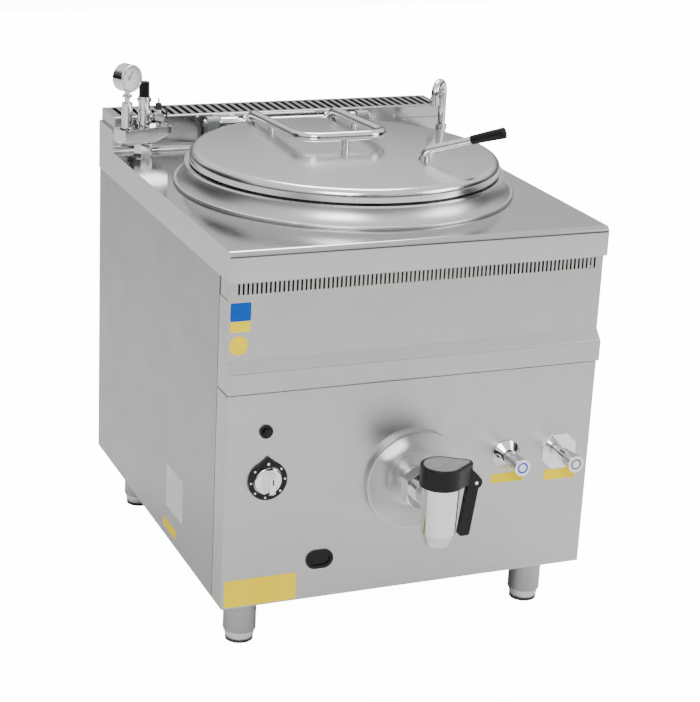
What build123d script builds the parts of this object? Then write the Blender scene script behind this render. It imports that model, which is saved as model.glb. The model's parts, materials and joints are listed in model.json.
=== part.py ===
from build123d import *
import os
from math import atan2, cos, hypot, radians, sin, sqrt, tan

# Gas boiling pan with a steam jacket, free standing, for a 900 mm deep cooking line.
# Lengths in millimetres. X to the right, Y to the rear, Z up. While it is drawn, Y is
# counted from the front face of the worktop; the origin then moves to the floor below
# the middle of the outline.

# ---------------------------------------------------------------- cabinet
WIDTH = 800.0
DEPTH = 900.0
WORKTOP_Z = 850.0
TOP_SHEET = 2.0
SKIRT_H = 60.0
NOSE_R = 12.0
SKIRT_CORNER_R = 4.0
PANEL_SHEET = 1.5
SIDE_INSET = 1.0
FLANGE = 18.0
LAP_W = 22.0
BASE_Z = 117.0
SEAM = 3.0
FIT_GAP = 0.3
FRONT_RETURN = 58.0

UPSTAND_DEPTH = 108.0
UPSTAND_H = 48.0
COVE_R = 14.0
UPSTAND_FLANGE = 12.0
FLUE_STEP = 4.0
FLUE_H = 28.0
FLUE_SIDE_INSET = 6.0
FLUE_SHEET = 1.5
FLUE_SLOT_PITCH = 19.0
FLUE_SLOT_W = 10.0
FLUE_SLOT_L = 82.0
FLUE_SLOT_MARGIN = 16.0

VENT_SETBACK = 10.0
VENT_DROP = 38.0
VENT_SLOT_PITCH = 9.0
VENT_SLOT_W = 4.0
VENT_SLOT_H = 22.0
VENT_SLOT_RISE = 11.0

UPPER_PANEL_SETBACK = 12.0
UPPER_PANEL_FLAT = 120.0
NOSE_OUT = 8.0
NOSE_SLOPE_H = 20.0
NOSE_FACE_H = 44.0
NOSE_FILLET = 4.0

# ---------------------------------------------------------------- base and legs
RAIL_W = 40.0
RAIL_H = 40.0
RAIL_WALL = 2.0
CROSS_RAIL_INSET = 35.0
LEG_INSET = 75.0
LEG_FRONT_Y = 95.0
LEG_R = 34.0
LEG_WALL = 3.0
LEG_BOTTOM_Z = 24.0
LEG_PLATE = 112.0
LEG_PLATE_T = 5.0
LEG_NUT_DROP = 33.0
LEG_NUT_T = 8.0
FOOT_STUD_R = 8.0
FOOT_SLEEVE_GAP = 10.0
FOOT_STUD_GAP = 7.0
FOOT_TIP_R = 28.0
FOOT_PAD_R = 29.0
FOOT_PAD_H = 7.0
FOOT_TAPER_H = 8.0
FOOT_CLEARANCE = 0.4
THREAD_CLEARANCE = 0.1

# ---------------------------------------------------------------- pan and jacket
COLLAR_SIDE_MARGIN = 41.5
COLLAR_FRONT_MARGIN = 71.5
COLLAR_REAR_GAP = 3.5
COLLAR_SPREAD = 54.5
COLLAR_FLARE = 4.0
COLLAR_SHEET = 2.0
COLLAR_BEAD_R = 4.0
COLLAR_BEAD_SINK = 1.0
PAN_WALL = 2.5
PAN_RIM_H = 42.0
PAN_FLANGE_W = 36.0
PAN_FLANGE_T = 4.0
PAN_KNUCKLE_R = 45.0
PAN_OPENING_GAP = 14.0
STEAM_GAP = 45.0
JACKET_WALL = 2.5
JACKET_DROP = 50.0
JACKET_BOTTOM_Z = 250.0
JACKET_KNUCKLE_R = 40.0
WOOL_T = 25.0
WOOL_GAP = 0.3
WOOL_INSET = 5.0

# ---------------------------------------------------------------- burner and flue duct
CHAMBER_INSET = 45.0
DUCT_SHEET = 1.5
DUCT_W = 300.0
DUCT_FRONT_GAP = 15.0
DUCT_REAR_GAP = 12.0
DUCT_CHANNEL_W = 200.0
DUCT_CHANNEL_H = 72.0
BURNER_EDGE_GAP = 120.0
BURNER_TUBE_R = 15.0
BURNER_DROP = 55.0
MIXER_R = 17.0
MIXER_FRONT_Y = 90.0
BURNER_BRACKET_W = 24.0
PORT_R = 2.0
PORT_COUNT = 24
PILOT_R = 5.0
PILOT_H = 26.0

# ---------------------------------------------------------------- lid
LID_OVERHANG = 26.0
LID_SHEET = 1.5
LID_GROOVE_H = 3.5
LID_GROOVE_D = 6.0
LID_EDGE_R = 15.0
LID_BAND_H = 11.0
LID_DOME_H = 6.0
LINER_LIP_GAP = 4.0
LINER_DEPTH = 12.0
HINGE_SETBACK = 24.0
HINGE_RISE = 62.0
HINGE_SHAFT_R = 8.0
HINGE_BLOCK_X = 179.0
HINGE_BLOCK_W = 28.0
HINGE_BLOCK_D = 26.0
HINGE_BLOCK_RELIEF = 4.0
HINGE_BLOCK_TOP_R = 14.0
HINGE_FOOT_T = 5.0
HINGE_FOOT_STEP = 7.0
HINGE_FOOT_W = 44.0
SHAFT_OVERHANG = 6.0
SLEEVE_R = 12.5
SLEEVE_X0 = 122.0
SLEEVE_X1 = 161.0
BEARING_CLEARANCE = 0.05
ARM_X = 97.0
ARM_R = 10.0
ARM_WALL = 1.5
ARM_LUG_R = 14.0
ARM_LUG_W = 20.0
ARM_SHOULDER_REACH = 38.0
ARM_SHOULDER_RISE = 25.0
ARM_FRONT_GAP = 15.0
ARM_BEND_R = 44.0
STUD_R = 8.0
POST_R = 6.0
POST_REACH = 185.0
HANDLE_ANGLE = -40.0
HANDLE_FOOT_INSET = 154.0
HANDLE_ROD_R = 8.0
HANDLE_FOOT_FLANGE_R = 12.0
HANDLE_FOOT_FLANGE_T = 3.0
HANDLE_RISE = 15.0
HANDLE_BEND_R = 18.0
HANDLE_SLOPE = 18.5
GRIP_START = 98.0
GRIP_LENGTH = 74.0
GRIP_R = 9.6
GRIP_TIP_R = 12.0
GRIP_END_R = 3.0
GRIP_BORE_CLEARANCE = 0.05

# ---------------------------------------------------------------- water spout
SPOUT_SIDE_MARGIN = 62.0
SPOUT_REAR_MARGIN = 116.0
SPOUT_TUBE_R = 9.0
SPOUT_TUBE_WALL = 1.2
SPOUT_BASE_R = 18.0
SPOUT_BASE_FLANGE_T = 6.0
SPOUT_BASE_HEX = 28.0
SPOUT_BASE_HEX_T = 14.0
SPOUT_NECK_R = 11.0
SPOUT_NECK_H = 28.0
SPOUT_NUT_R = 13.0
SPOUT_NUT_H = 11.0
SPOUT_SEAT_H = 26.0
SPOUT_RISER_H = 133.0
SPOUT_ARCH_R = 25.0
SPOUT_OUTLET_DROP = 22.0
SPOUT_NOZZLE_R = 10.6
SPOUT_NOZZLE_H = 17.0
SPOUT_ANGLE = -136.0

# ---------------------------------------------------------------- safety group
COLUMN_SIDE_MARGIN = 54.0
COLUMN_REAR_MARGIN = 52.0
COLUMN_PIPE_R = 9.0
COLUMN_PIPE_DROP = 26.0
COLUMN_HEX = 34.0
COLUMN_HEX_H = 31.0
COLUMN_WASHER_R = 23.0
COLUMN_WASHER_T = 2.0
COLUMN_BEND_R = 11.0
DISH_OFFSET_X = 7.0
DISH_OFFSET_Y = 10.0
DISH_YAW = 18.0
DISH_L = 132.0
DISH_W = 44.0
DISH_H = 33.0
DISH_RIM_H = 9.0
DISH_STERN_CHAMFER = 7.0
DISH_KEEL_L = 66.0
DISH_KEEL_EDGE = 6.0
DISH_WELL_DEPTH = 5.0
DISH_WALL = 2.5
PILLAR_ALONG = -45.0
PILLAR_ACROSS = 4.0
PILLAR_R = 12.0
PILLAR_FOOT_R = 13.5
PILLAR_FOOT_H = 8.0
PILLAR_NUT = 20.0
PILLAR_NUT_H = 5.0
PILLAR_NECK_R = 6.0
PILLAR_NECK_L = 12.0
GAUGE_H = 175.0
GAUGE_R = 30.0
GAUGE_DEPTH = 28.0
GAUGE_AIM = 24.6
GAUGE_WALL = 2.0
GAUGE_DIAL_T = 1.0
GAUGE_DIAL_RECESS = 8.0
GAUGE_GLASS_T = 2.0
GAUGE_STUD_R = 2.0
NEEDLE_T = 0.8
NEEDLE_L = 19.0
NEEDLE_TAIL = 6.0
NEEDLE_W = 2.6
NEEDLE_HUB_R = 4.0
NEEDLE_REST = 35.0
RELIEF_ALONG = -2.0
RELIEF_ACROSS = 2.0
RELIEF_R = 13.0
RELIEF_COLLAR_R = 16.0
RELIEF_COLLAR_T = 6.0
RELIEF_COLLAR_RISES = (12.0, 38.0, 62.0)
RELIEF_H = 72.0
RELIEF_NECK_R = 7.0
RELIEF_NECK_L = 19.0
RELIEF_CAP_HEX = 21.0
RELIEF_CAP_H = 32.0
AIR_ALONG = 31.0
AIR_ACROSS = -6.0
AIR_NECK_R = 6.0
AIR_BARREL_R = 11.0
AIR_BARREL_L = 18.0
AIR_BARREL_RISE = 24.0
AIR_BODY_H = 41.0
AIR_STEM_R = 3.0
AIR_STEM_L = 8.0
AIR_KNOB_R = 7.0
AIR_KNOB_T = 14.0
AIR_TIP_R = 2.0
AIR_TIP_L = 11.0
AIR_LEVER_R = 2.2
AIR_LEVER_REACH = 18.0
AIR_LEVER_DROP = 26.0
AIR_LEVER_BEND_R = 10.0

# ---------------------------------------------------------------- drain tap
DRAIN_Z = 352.0
DRAIN_BORE_R = 27.0
DRAIN_PIPE_R = 30.0
ROSETTE_R = 104.0
ROSETTE_DISH_R = 57.0
ROSETTE_SHEET = 1.5
ROSETTE_RIM_OUT = 12.0
ROSETTE_DISH_OUT = 4.0
ROSETTE_RIM_R = 2.5
UNION_BACK_Y = -26.0
UNION_FRONT_Y = -64.0
UNION_SOCKET_D = 2.0
UNION_HEX = 80.0
UNION_CORNER_R = 49.5
UNION_BACK_SLOPE = 16.0
UNION_FRONT_SLOPE = 5.0
TAP_Y = -128.0
TAP_R = 37.0
TAP_LOWER_R = 34.0
TAP_OUTLET_R = 26.0
TAP_TOP_Z = 392.0
TAP_LOWER_Z = 292.0
TAP_OUTLET_Z = 268.0
TAP_BRANCH_R = 31.0
TAP_PLUG_R = 29.0
TAP_PLUG_CLEARANCE = 0.06
TAP_PLUG_FLOOR_Z = 310.0
TAP_PORT_R = 22.0
TAP_OUTLET_BORE_R = 20.0
CAP_R = 43.0
CAP_H = 42.0
CAP_EDGE_R = 3.0
CAP_LOBE_R = 15.0
CAP_LOBE_X = 50.0
CAP_PLATE_T = 2.0
CAP_PLATE_MARGIN = 6.5
CAP_LUG_X = 69.0
CAP_LUG_R = 13.0
CAP_LUG_D = 30.0
CAP_LUG_Z = 393.0
CAP_SLOT_D = 16.0
CAP_STEM_R = 12.0
CAP_STEM_H = 21.0
LEVER_T = 15.0
LEVER_W = 22.0
LEVER_EYE_R = 11.5
LEVER_TIP_Z = 279.0
LEVER_TIP_X = 54.0
LEVER_TIP_FILLET = 4.0
LEVER_PIN_R = 4.0
LEVER_PIN_OUT = 1.0

# ---------------------------------------------------------------- front controls
KNOB_SIDE_MARGIN = 88.0
KNOB_Z = 385.0
BEZEL_R = 40.0
BEZEL_TIP = 50.0
BEZEL_SHOULDER = 38.0
BEZEL_T = 5.0
BEZEL_BORE_R = 30.0
KNOB_R = 28.0
KNOB_DISC_T = 9.0
KNOB_BAR_W = 13.0
KNOB_BAR_L = 54.0
KNOB_OUT = 34.0
SPINDLE_R = 4.0
SPINDLE_HOLE_R = 7.0
GAS_VALVE_Y0 = 20.0
GAS_VALVE_D = 50.0
GAS_VALVE_W = 52.0
GAS_VALVE_H = 80.0
GAS_VALVE_NECK_R = 12.0
GAS_VALVE_CHAMFER = 6.5
GAS_PIPE_R = 6.0
GAS_INLET_R = 13.2
GAS_INLET_STEP = 72.0
GAS_FEED_X = -60.0
INLET_REAR_MARGIN = 74.0
INLET_Z = 92.0
INLET_NIPPLE_L = 30.0
IGNITER_SIDE_MARGIN = 82.0
IGNITER_Z = 487.0
IGNITER_R = 9.0
IGNITER_COLLAR_R = 13.5
IGNITER_COLLAR_OUT = 4.0
IGNITER_NUT_T = 4.5
IGNITER_BODY_L = 46.0
IGNITER_BORE_L = 30.0
BUTTON_R = 7.5
BUTTON_OUT = 10.0
BUTTON_TRAVEL = 4.0
BUTTON_CLEARANCE = 0.3
SIGHT_SIDE_MARGIN = 205.0
SIGHT_Z = 201.0
SIGHT_L = 52.0
SIGHT_H = 34.0
SIGHT_WALL = 4.0
SIGHT_LIP = 3.0
SIGHT_OUT = 3.0
SIGHT_D = 22.0
SIGHT_PANE_T = 3.0

COLD_SIDE_MARGIN = 194.0
COLD_Z = 381.0
HOT_SIDE_MARGIN = 72.0
HOT_Z = 375.0
VALVE_ROSETTE_R = 31.0
VALVE_ROSETTE_TOP_R = 16.0
VALVE_ROSETTE_OUT = 16.0
VALVE_ROSETTE_EDGE = 3.0
HOT_ROSETTE_AF = 76.0
HOT_ROSETTE_T = 3.0
VALVE_NECK_R = 10.0
VALVE_NECK_OUT = 28.0
VALVE_BODY_R = 15.0
VALVE_BODY_L = 58.0
HANDLE_BACK_OUT = 20.0
HANDLE_OUT = 76.0
HANDLE_BACK_R = 14.0
HANDLE_FRONT_R = 17.5
HANDLE_CAP_T = 6.0
HANDLE_FLUTES = 6
HANDLE_FLUTE_R = 4.0
WATER_PIPE_R = 7.5
WATER_PIPE_Y = 45.0
WATER_BEND_R = 16.0
COLD_INLET_X = 210.0
COLD_RUN_MARGIN = 34.0
HOT_INLET_X = 250.0
COLD_RUN_RISE = 73.0
HOT_RUN_RISE = 33.0
MIX_RUN_DROP = 25.0
LINK_RISE = 69.0
NIPPLE_R = 10.5

# ---------------------------------------------------------------- derived
HALF_W = WIDTH / 2
PANEL_HALF_W = HALF_W - SIDE_INSET
RAIL_TOP_Z = BASE_Z + PANEL_SHEET + RAIL_H
UPSTAND_Y = DEPTH - UPSTAND_DEPTH
UPSTAND_Z = WORKTOP_Z + UPSTAND_H
FLUE_Y = UPSTAND_Y + FLUE_STEP
FLUE_Z = UPSTAND_Z + FLUE_H
SKIRT_Z = WORKTOP_Z - SKIRT_H
VENT_Z = SKIRT_Z - VENT_DROP
NOSE_TOP_Z = VENT_Z - UPPER_PANEL_FLAT
NOSE_EDGE_Z = NOSE_TOP_Z - NOSE_SLOPE_H
NOSE_BOTTOM_Z = NOSE_EDGE_Z - NOSE_FACE_H
LEG_X = HALF_W - LEG_INSET
LEG_REAR_Y = DEPTH - LEG_FRONT_Y
LEG_NUT_Z = BASE_Z - LEG_NUT_DROP
FOOT_TOP_Z = LEG_NUT_Z - FOOT_SLEEVE_GAP
FOOT_STUD_TOP_Z = BASE_Z - FOOT_STUD_GAP

COLLAR_FOOT_R = min(
    HALF_W - COLLAR_SIDE_MARGIN, (UPSTAND_Y - COLLAR_REAR_GAP - COLLAR_FRONT_MARGIN) / 2
)
COLLAR_R = COLLAR_FOOT_R - COLLAR_BEAD_R
PAN_Y = UPSTAND_Y - COLLAR_REAR_GAP - COLLAR_FOOT_R
PAN_R = COLLAR_R - COLLAR_SPREAD
PAN_OUTER_R = PAN_R + PAN_WALL
PAN_FLANGE_R = PAN_R + PAN_FLANGE_W
PAN_RIM_Z = WORKTOP_Z + PAN_RIM_H
PAN_FLOOR_Z = DRAIN_Z - DRAIN_BORE_R
COLLAR_TOP_Z = PAN_RIM_Z - PAN_FLANGE_T
JACKET_R = PAN_R + STEAM_GAP
JACKET_TOP_Z = WORKTOP_Z - JACKET_DROP
WOOL_INNER_R = JACKET_R + WOOL_GAP
WOOL_OUTER_R = WOOL_INNER_R + WOOL_T
CHAMBER_R = JACKET_R - CHAMBER_INSET
DUCT_FRONT_Y = UPSTAND_Y + DUCT_FRONT_GAP
DUCT_REAR_Y = DEPTH - DUCT_REAR_GAP
DUCT_CHANNEL_Z = JACKET_BOTTOM_Z - DUCT_CHANNEL_H
BURNER_R = CHAMBER_R - BURNER_EDGE_GAP - BURNER_TUBE_R
CROSS_RAIL_REACH = BURNER_R - CROSS_RAIL_INSET
CROSS_RAIL_YS = (PAN_Y - CROSS_RAIL_REACH, PAN_Y + CROSS_RAIL_REACH)
BURNER_Z = JACKET_BOTTOM_Z - BURNER_DROP

LID_R = PAN_R + LID_OVERHANG
LID_BOTTOM_Z = PAN_RIM_Z + LID_GROOVE_H
LID_EDGE_Z = LID_BOTTOM_Z + LID_BAND_H
LID_SHOULDER_Z = LID_EDGE_Z + LID_EDGE_R
LID_TOP_Z = LID_SHOULDER_Z + LID_DOME_H
LID_DOME_R = LID_R - LID_EDGE_R
HINGE_Y = UPSTAND_Y - HINGE_SETBACK
HINGE_Z = WORKTOP_Z + HINGE_RISE
ARM_SHOULDER_Y = HINGE_Y - ARM_SHOULDER_REACH
ARM_SHOULDER_Z = HINGE_Z + ARM_SHOULDER_RISE
ARM_FRONT_Z = LID_TOP_Z + ARM_FRONT_GAP + ARM_R
POST_Y = PAN_Y + POST_REACH
HANDLE_FOOT_RADIUS = LID_R - HANDLE_FOOT_INSET
GRIP_START_RADIUS = HANDLE_FOOT_RADIUS + GRIP_START

SPOUT_X = HALF_W - SPOUT_SIDE_MARGIN
SPOUT_Y = UPSTAND_Y - SPOUT_REAR_MARGIN
SPOUT_SEAT_Z = WORKTOP_Z + SPOUT_SEAT_H
SPOUT_BASE_TOP_Z = WORKTOP_Z + SPOUT_BASE_FLANGE_T + SPOUT_BASE_HEX_T + SPOUT_NECK_H + SPOUT_NUT_H
SPOUT_RISER_Z = WORKTOP_Z + SPOUT_RISER_H
SPOUT_OUTLET_Z = SPOUT_RISER_Z - SPOUT_OUTLET_DROP
COLUMN_X = COLUMN_SIDE_MARGIN - HALF_W
COLUMN_Y = UPSTAND_Y - COLUMN_REAR_MARGIN
COLUMN_PIPE_Z = WORKTOP_Z - COLUMN_PIPE_DROP
DISH_X = COLUMN_X + DISH_OFFSET_X
DISH_Y = COLUMN_Y + DISH_OFFSET_Y
DISH_TOP_Z = WORKTOP_Z + COLUMN_HEX_H + DISH_H
DISH_FLOOR_Z = DISH_TOP_Z - DISH_WELL_DEPTH
DISH_COS = cos(radians(DISH_YAW))
DISH_SIN = sin(radians(DISH_YAW))
PILLAR_X = DISH_X + PILLAR_ALONG * DISH_COS - PILLAR_ACROSS * DISH_SIN
PILLAR_Y = DISH_Y + PILLAR_ALONG * DISH_SIN + PILLAR_ACROSS * DISH_COS
GAUGE_Z = WORKTOP_Z + GAUGE_H
RELIEF_X = DISH_X + RELIEF_ALONG * DISH_COS - RELIEF_ACROSS * DISH_SIN
RELIEF_Y = DISH_Y + RELIEF_ALONG * DISH_SIN + RELIEF_ACROSS * DISH_COS
RELIEF_TOP_Z = DISH_FLOOR_Z + RELIEF_H
RELIEF_NECK_Z = RELIEF_TOP_Z + RELIEF_NECK_L
RELIEF_CAP_TOP_Z = RELIEF_TOP_Z + RELIEF_CAP_H
AIR_X = DISH_X + AIR_ALONG * DISH_COS - AIR_ACROSS * DISH_SIN
AIR_Y = DISH_Y + AIR_ALONG * DISH_SIN + AIR_ACROSS * DISH_COS
AIR_BODY_TOP_Z = DISH_FLOOR_Z + AIR_BODY_H
AIR_STEM_Z = AIR_BODY_TOP_Z + AIR_STEM_L

CAP_TOP_Z = TAP_TOP_Z + FIT_GAP + CAP_H
KNOB_X = KNOB_SIDE_MARGIN - HALF_W
GAS_INLET_X = KNOB_X + GAS_INLET_STEP
IGNITER_X = IGNITER_SIDE_MARGIN - HALF_W
SIGHT_X = SIGHT_SIDE_MARGIN - HALF_W
COLD_X = HALF_W - COLD_SIDE_MARGIN
HOT_X = HALF_W - HOT_SIDE_MARGIN
COLD_RUN_X = HALF_W - COLD_RUN_MARGIN
INLET_Y = DEPTH - INLET_REAR_MARGIN
COLD_RUN_Z = RAIL_TOP_Z + COLD_RUN_RISE
HOT_RUN_Z = RAIL_TOP_Z + HOT_RUN_RISE
MIX_RUN_Z = WORKTOP_Z - MIX_RUN_DROP
LINK_Z = COLD_Z + LINK_RISE
TAP_FRONT_Y = TAP_Y - CAP_R
ORIGIN_Y = (DEPTH + TAP_FRONT_Y) / 2


# ---------------------------------------------------------------- helpers
def block(x0, x1, y0, y1, z0, z1):
    """Box between two opposite corners."""
    middle = Pos((x0 + x1) / 2, (y0 + y1) / 2, (z0 + z1) / 2)
    return middle * Box(x1 - x0, y1 - y0, z1 - z0)


def post(x, y, r, z0, z1):
    """Vertical cylinder."""
    return Pos(x, y, (z0 + z1) / 2) * Cylinder(r, z1 - z0)


def bar_y(x, z, r, y0, y1):
    """Cylinder along Y."""
    return Pos(x, (y0 + y1) / 2, z) * Rot(90, 0, 0) * Cylinder(r, y1 - y0)


def bar_x(y, z, r, x0, x1):
    """Cylinder along X."""
    return Pos((x0 + x1) / 2, y, z) * Rot(0, 90, 0) * Cylinder(r, x1 - x0)


def hex_post(x, y, across, z0, z1):
    """Vertical hexagon bar, given across its flats."""
    outline = RegularPolygon(across / 2, 6, major_radius=False)
    return Pos(x, y, z0) * extrude(outline, z1 - z0)


def turned_z(outline, x=0.0, y=0.0):
    """Solid of revolution about a vertical axis, from an outline in (radius, z)."""
    return Pos(x, y, 0) * revolve(Plane.XZ * outline, Axis.Z)


def turned_y(outline, x, z):
    """Solid of revolution about an axis along Y, from an outline in (radius, y)."""
    return Pos(x, 0, z) * revolve(outline, Axis.Y)


def outline(*points):
    """Closed straight-sided face."""
    return make_face(Polyline(*points, close=True))


def extruded_x(face_yz, x0, x1):
    """Face drawn in (y, z) and pulled along X."""
    return Pos(x0, 0, 0) * extrude(Plane.YZ * face_yz, x1 - x0)


def extruded_y(face_xz, y0, y1):
    """Face drawn in (x, z) and pulled along Y, from the lower y to the higher."""
    return Pos(0, y1, 0) * extrude(Plane.XZ * face_xz, y1 - y0)


def edge_along(shape, axis, point):
    """The straight edge parallel to an axis that lies nearest to a point."""
    return shape.edges().filter_by(axis).sort_by_distance(point)[0]


def piped(points, r, bend):
    """Round bar through the points, with equal bends."""
    path = FilletPolyline(*points, radius=bend)
    return sweep((path ^ 0) * Circle(r), path=path)


def mirrored(shape):
    return mirror(shape, about=Plane.YZ)


def teardrop(r, lobe_r, lobe_x):
    """Round outline drawn out towards +X to a smaller round lobe."""
    lobe = Pos(lobe_x, 0) * Circle(lobe_r)
    return make_hull(Circle(r).edges() + lobe.edges())


# ---------------------------------------------------------------- cabinet sheet work
def worktop_blank(inset):
    """Top, skirts and upstand as one filled form, inset by a sheet thickness."""
    low = SKIRT_Z - (1 if inset else 0)
    side = outline(
        (inset, low),
        (inset, WORKTOP_Z - inset),
        (UPSTAND_Y + inset, WORKTOP_Z - inset),
        (UPSTAND_Y + inset, UPSTAND_Z - inset),
        (DEPTH - inset, UPSTAND_Z - inset),
        (DEPTH - inset, low),
    )
    blank = extruded_x(side, -HALF_W + inset, HALF_W - inset)
    nose = edge_along(blank, Axis.X, (0, inset, WORKTOP_Z - inset))
    blank = fillet(nose, NOSE_R - inset)
    cove = edge_along(blank, Axis.X, (0, UPSTAND_Y + inset, WORKTOP_Z - inset))
    blank = fillet(cove, COVE_R + inset)
    return blank


def worktop():
    """Pressed top in two welded pieces: the flat with its skirts, and the cove and upstand."""
    body = worktop_blank(0) - worktop_blank(TOP_SHEET)
    top_window = block(
        -HALF_W + UPSTAND_FLANGE,
        HALF_W - UPSTAND_FLANGE,
        UPSTAND_Y + UPSTAND_FLANGE,
        DEPTH - UPSTAND_FLANGE,
        UPSTAND_Z - 2 * TOP_SHEET,
        UPSTAND_Z + TOP_SHEET,
    )
    low = WORKTOP_Z - NOSE_R
    high = WORKTOP_Z + NOSE_R
    body -= top_window
    body -= post(0, PAN_Y, PAN_OUTER_R + PAN_OPENING_GAP, low, high)
    body -= post(COLUMN_X, COLUMN_Y, COLUMN_PIPE_R, low, high)
    body -= post(SPOUT_X, SPOUT_Y, WATER_PIPE_R, low, high)
    weld_y = UPSTAND_Y - COVE_R
    front_half = block(-WIDTH, WIDTH, -1, weld_y, 0, 2 * WORKTOP_Z)
    rear_half = block(-WIDTH, WIDTH, weld_y, DEPTH + 1, 0, 2 * WORKTOP_Z)
    return Compound([(body & front_half).solids()[0], (body & rear_half).solids()[0]])


def flue_cap():
    half = HALF_W - FLUE_SIDE_INSET
    shell = block(-half, half, FLUE_Y, DEPTH, UPSTAND_Z, FLUE_Z)
    front_edge = edge_along(shell, Axis.X, (0, FLUE_Y, FLUE_Z))
    shell = fillet(front_edge, 2 * FLUE_SHEET)
    shell -= block(
        -half + FLUE_SHEET,
        half - FLUE_SHEET,
        FLUE_Y + FLUE_SHEET,
        DEPTH - FLUE_SHEET,
        UPSTAND_Z,
        FLUE_Z - FLUE_SHEET,
    )
    count = int((2 * half - 2 * FLUE_SLOT_MARGIN) / FLUE_SLOT_PITCH) + 1
    slot = Rot(0, 0, 90) * SlotOverall(FLUE_SLOT_L, FLUE_SLOT_W)
    middle_y = (FLUE_Y + DEPTH) / 2
    slots = Pos(0, middle_y, FLUE_Z - 2 * FLUE_SHEET) * extrude(
        Sketch() + [place * slot for place in GridLocations(FLUE_SLOT_PITCH, 1, count, 1)],
        3 * FLUE_SHEET,
    )
    return shell - slots


def side_panel():
    """Right-hand side panel: returns on its edges and a lap strip behind the front panels."""
    y0 = FRONT_RETURN + SEAM
    y1 = DEPTH - TOP_SHEET - PANEL_SHEET
    x_in = PANEL_HALF_W - PANEL_SHEET
    x_flange = PANEL_HALF_W - FLANGE
    low = BASE_Z + PANEL_SHEET
    body = block(x_flange, PANEL_HALF_W, y0, y1, BASE_Z, SKIRT_Z)
    body -= block(x_flange - 1, x_in, y0 + PANEL_SHEET, y1 - PANEL_SHEET, low, SKIRT_Z - PANEL_SHEET)
    body -= block(x_flange - 1, x_in, y0 - 1, y1 + 1, low, RAIL_TOP_Z)
    lap_top = VENT_Z - 2 * PANEL_SHEET
    return body + block(x_in - PANEL_SHEET, x_in, y0 - LAP_W, y0 + PANEL_SHEET, RAIL_TOP_Z, lap_top)


def back_panel():
    y1 = DEPTH - TOP_SHEET
    z1 = SKIRT_Z + SKIRT_H / 2
    return block(-HALF_W + TOP_SHEET, HALF_W - TOP_SHEET, y1 - PANEL_SHEET, y1, BASE_Z, z1)


def vent_strip():
    """Slotted strip under the front skirt, with closed ends and a foot on the panel below."""
    half = PANEL_HALF_W - PANEL_SHEET
    y0 = VENT_SETBACK
    y1 = y0 + PANEL_SHEET
    top = WORKTOP_Z - 2 * NOSE_R
    foot_z = VENT_Z + PANEL_SHEET
    strip = block(-half, half, y0, y1, VENT_Z, top)
    strip += block(-half, half, y0, y0 + FLANGE, VENT_Z, foot_z)
    strip += block(half - PANEL_SHEET, half, y0, FRONT_RETURN, VENT_Z, SKIRT_Z)
    strip += block(-half, PANEL_SHEET - half, y0, FRONT_RETURN, VENT_Z, SKIRT_Z)
    count = int((2 * half - 2 * FLANGE) / VENT_SLOT_PITCH) + 1
    slot = Rectangle(VENT_SLOT_W, VENT_SLOT_H)
    grid = Sketch() + [place * slot for place in GridLocations(VENT_SLOT_PITCH, 1, count, 1)]
    slot_z = VENT_Z + VENT_SLOT_RISE + VENT_SLOT_H / 2
    slots = Pos(0, y1 + 1, slot_z) * extrude(Plane.XZ * grid, PANEL_SHEET + 2)
    return strip - slots


def upper_front_blank(inset):
    """Filled form of the upper front panel, with the sloped nose under it."""
    top = VENT_Z - inset
    bottom = NOSE_BOTTOM_Z + inset
    rear = FRONT_RETURN + (1 if inset else 0)
    slope = tan(atan2(NOSE_TOP_Z - NOSE_EDGE_Z, UPPER_PANEL_SETBACK + NOSE_OUT) / 2)
    side = outline(
        (UPPER_PANEL_SETBACK + inset, top),
        (UPPER_PANEL_SETBACK + inset, NOSE_TOP_Z + inset * slope),
        (inset - NOSE_OUT, NOSE_EDGE_Z - inset * slope),
        (inset - NOSE_OUT, bottom),
        (rear, bottom),
        (rear, top),
    )
    blank = extruded_x(side, -PANEL_HALF_W + inset, PANEL_HALF_W - inset)
    low_edge = edge_along(blank, Axis.X, (0, inset - NOSE_OUT, bottom))
    blank = fillet(low_edge, NOSE_FILLET - inset)
    high_edge = edge_along(blank, Axis.X, (0, inset - NOSE_OUT, NOSE_EDGE_Z))
    return fillet(high_edge, NOSE_FILLET - inset)


def upper_front_panel():
    body = upper_front_blank(0) - upper_front_blank(PANEL_SHEET)
    # the flanges only reach a little way back, so that pipes pass behind them
    half = PANEL_HALF_W - PANEL_SHEET
    reach = UPPER_PANEL_SETBACK + FLANGE
    return body - block(-half, half, reach, FRONT_RETURN + 1, NOSE_BOTTOM_Z, VENT_Z)


def lower_front_panel():
    top = NOSE_BOTTOM_Z - SEAM
    body = block(-PANEL_HALF_W, PANEL_HALF_W, 0, FRONT_RETURN, BASE_Z, top)
    vertical = body.edges().filter_by(Axis.Z).sort_by(Axis.Y)[:2]
    body = fillet(vertical, SKIRT_CORNER_R)
    inner_half = PANEL_HALF_W - PANEL_SHEET
    body -= block(
        -inner_half, inner_half, PANEL_SHEET, FRONT_RETURN + 1, BASE_Z + PANEL_SHEET, top - PANEL_SHEET
    )
    body -= block(-inner_half, inner_half, FLANGE, FRONT_RETURN + 1, BASE_Z - 1, top + 1)
    through = 2 * PANEL_SHEET
    body -= bar_y(0, DRAIN_Z, DRAIN_PIPE_R, -through, through)
    body -= bar_y(KNOB_X, KNOB_Z, SPINDLE_HOLE_R, -through, through)
    body -= bar_y(IGNITER_X, IGNITER_Z, IGNITER_R, -through, through)
    body -= bar_y(COLD_X, COLD_Z, VALVE_NECK_R, -through, through)
    body -= bar_y(HOT_X, HOT_Z, VALVE_NECK_R, -through, through)
    return body - sight_plug(SIGHT_L, SIGHT_H, -through, through)


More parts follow.
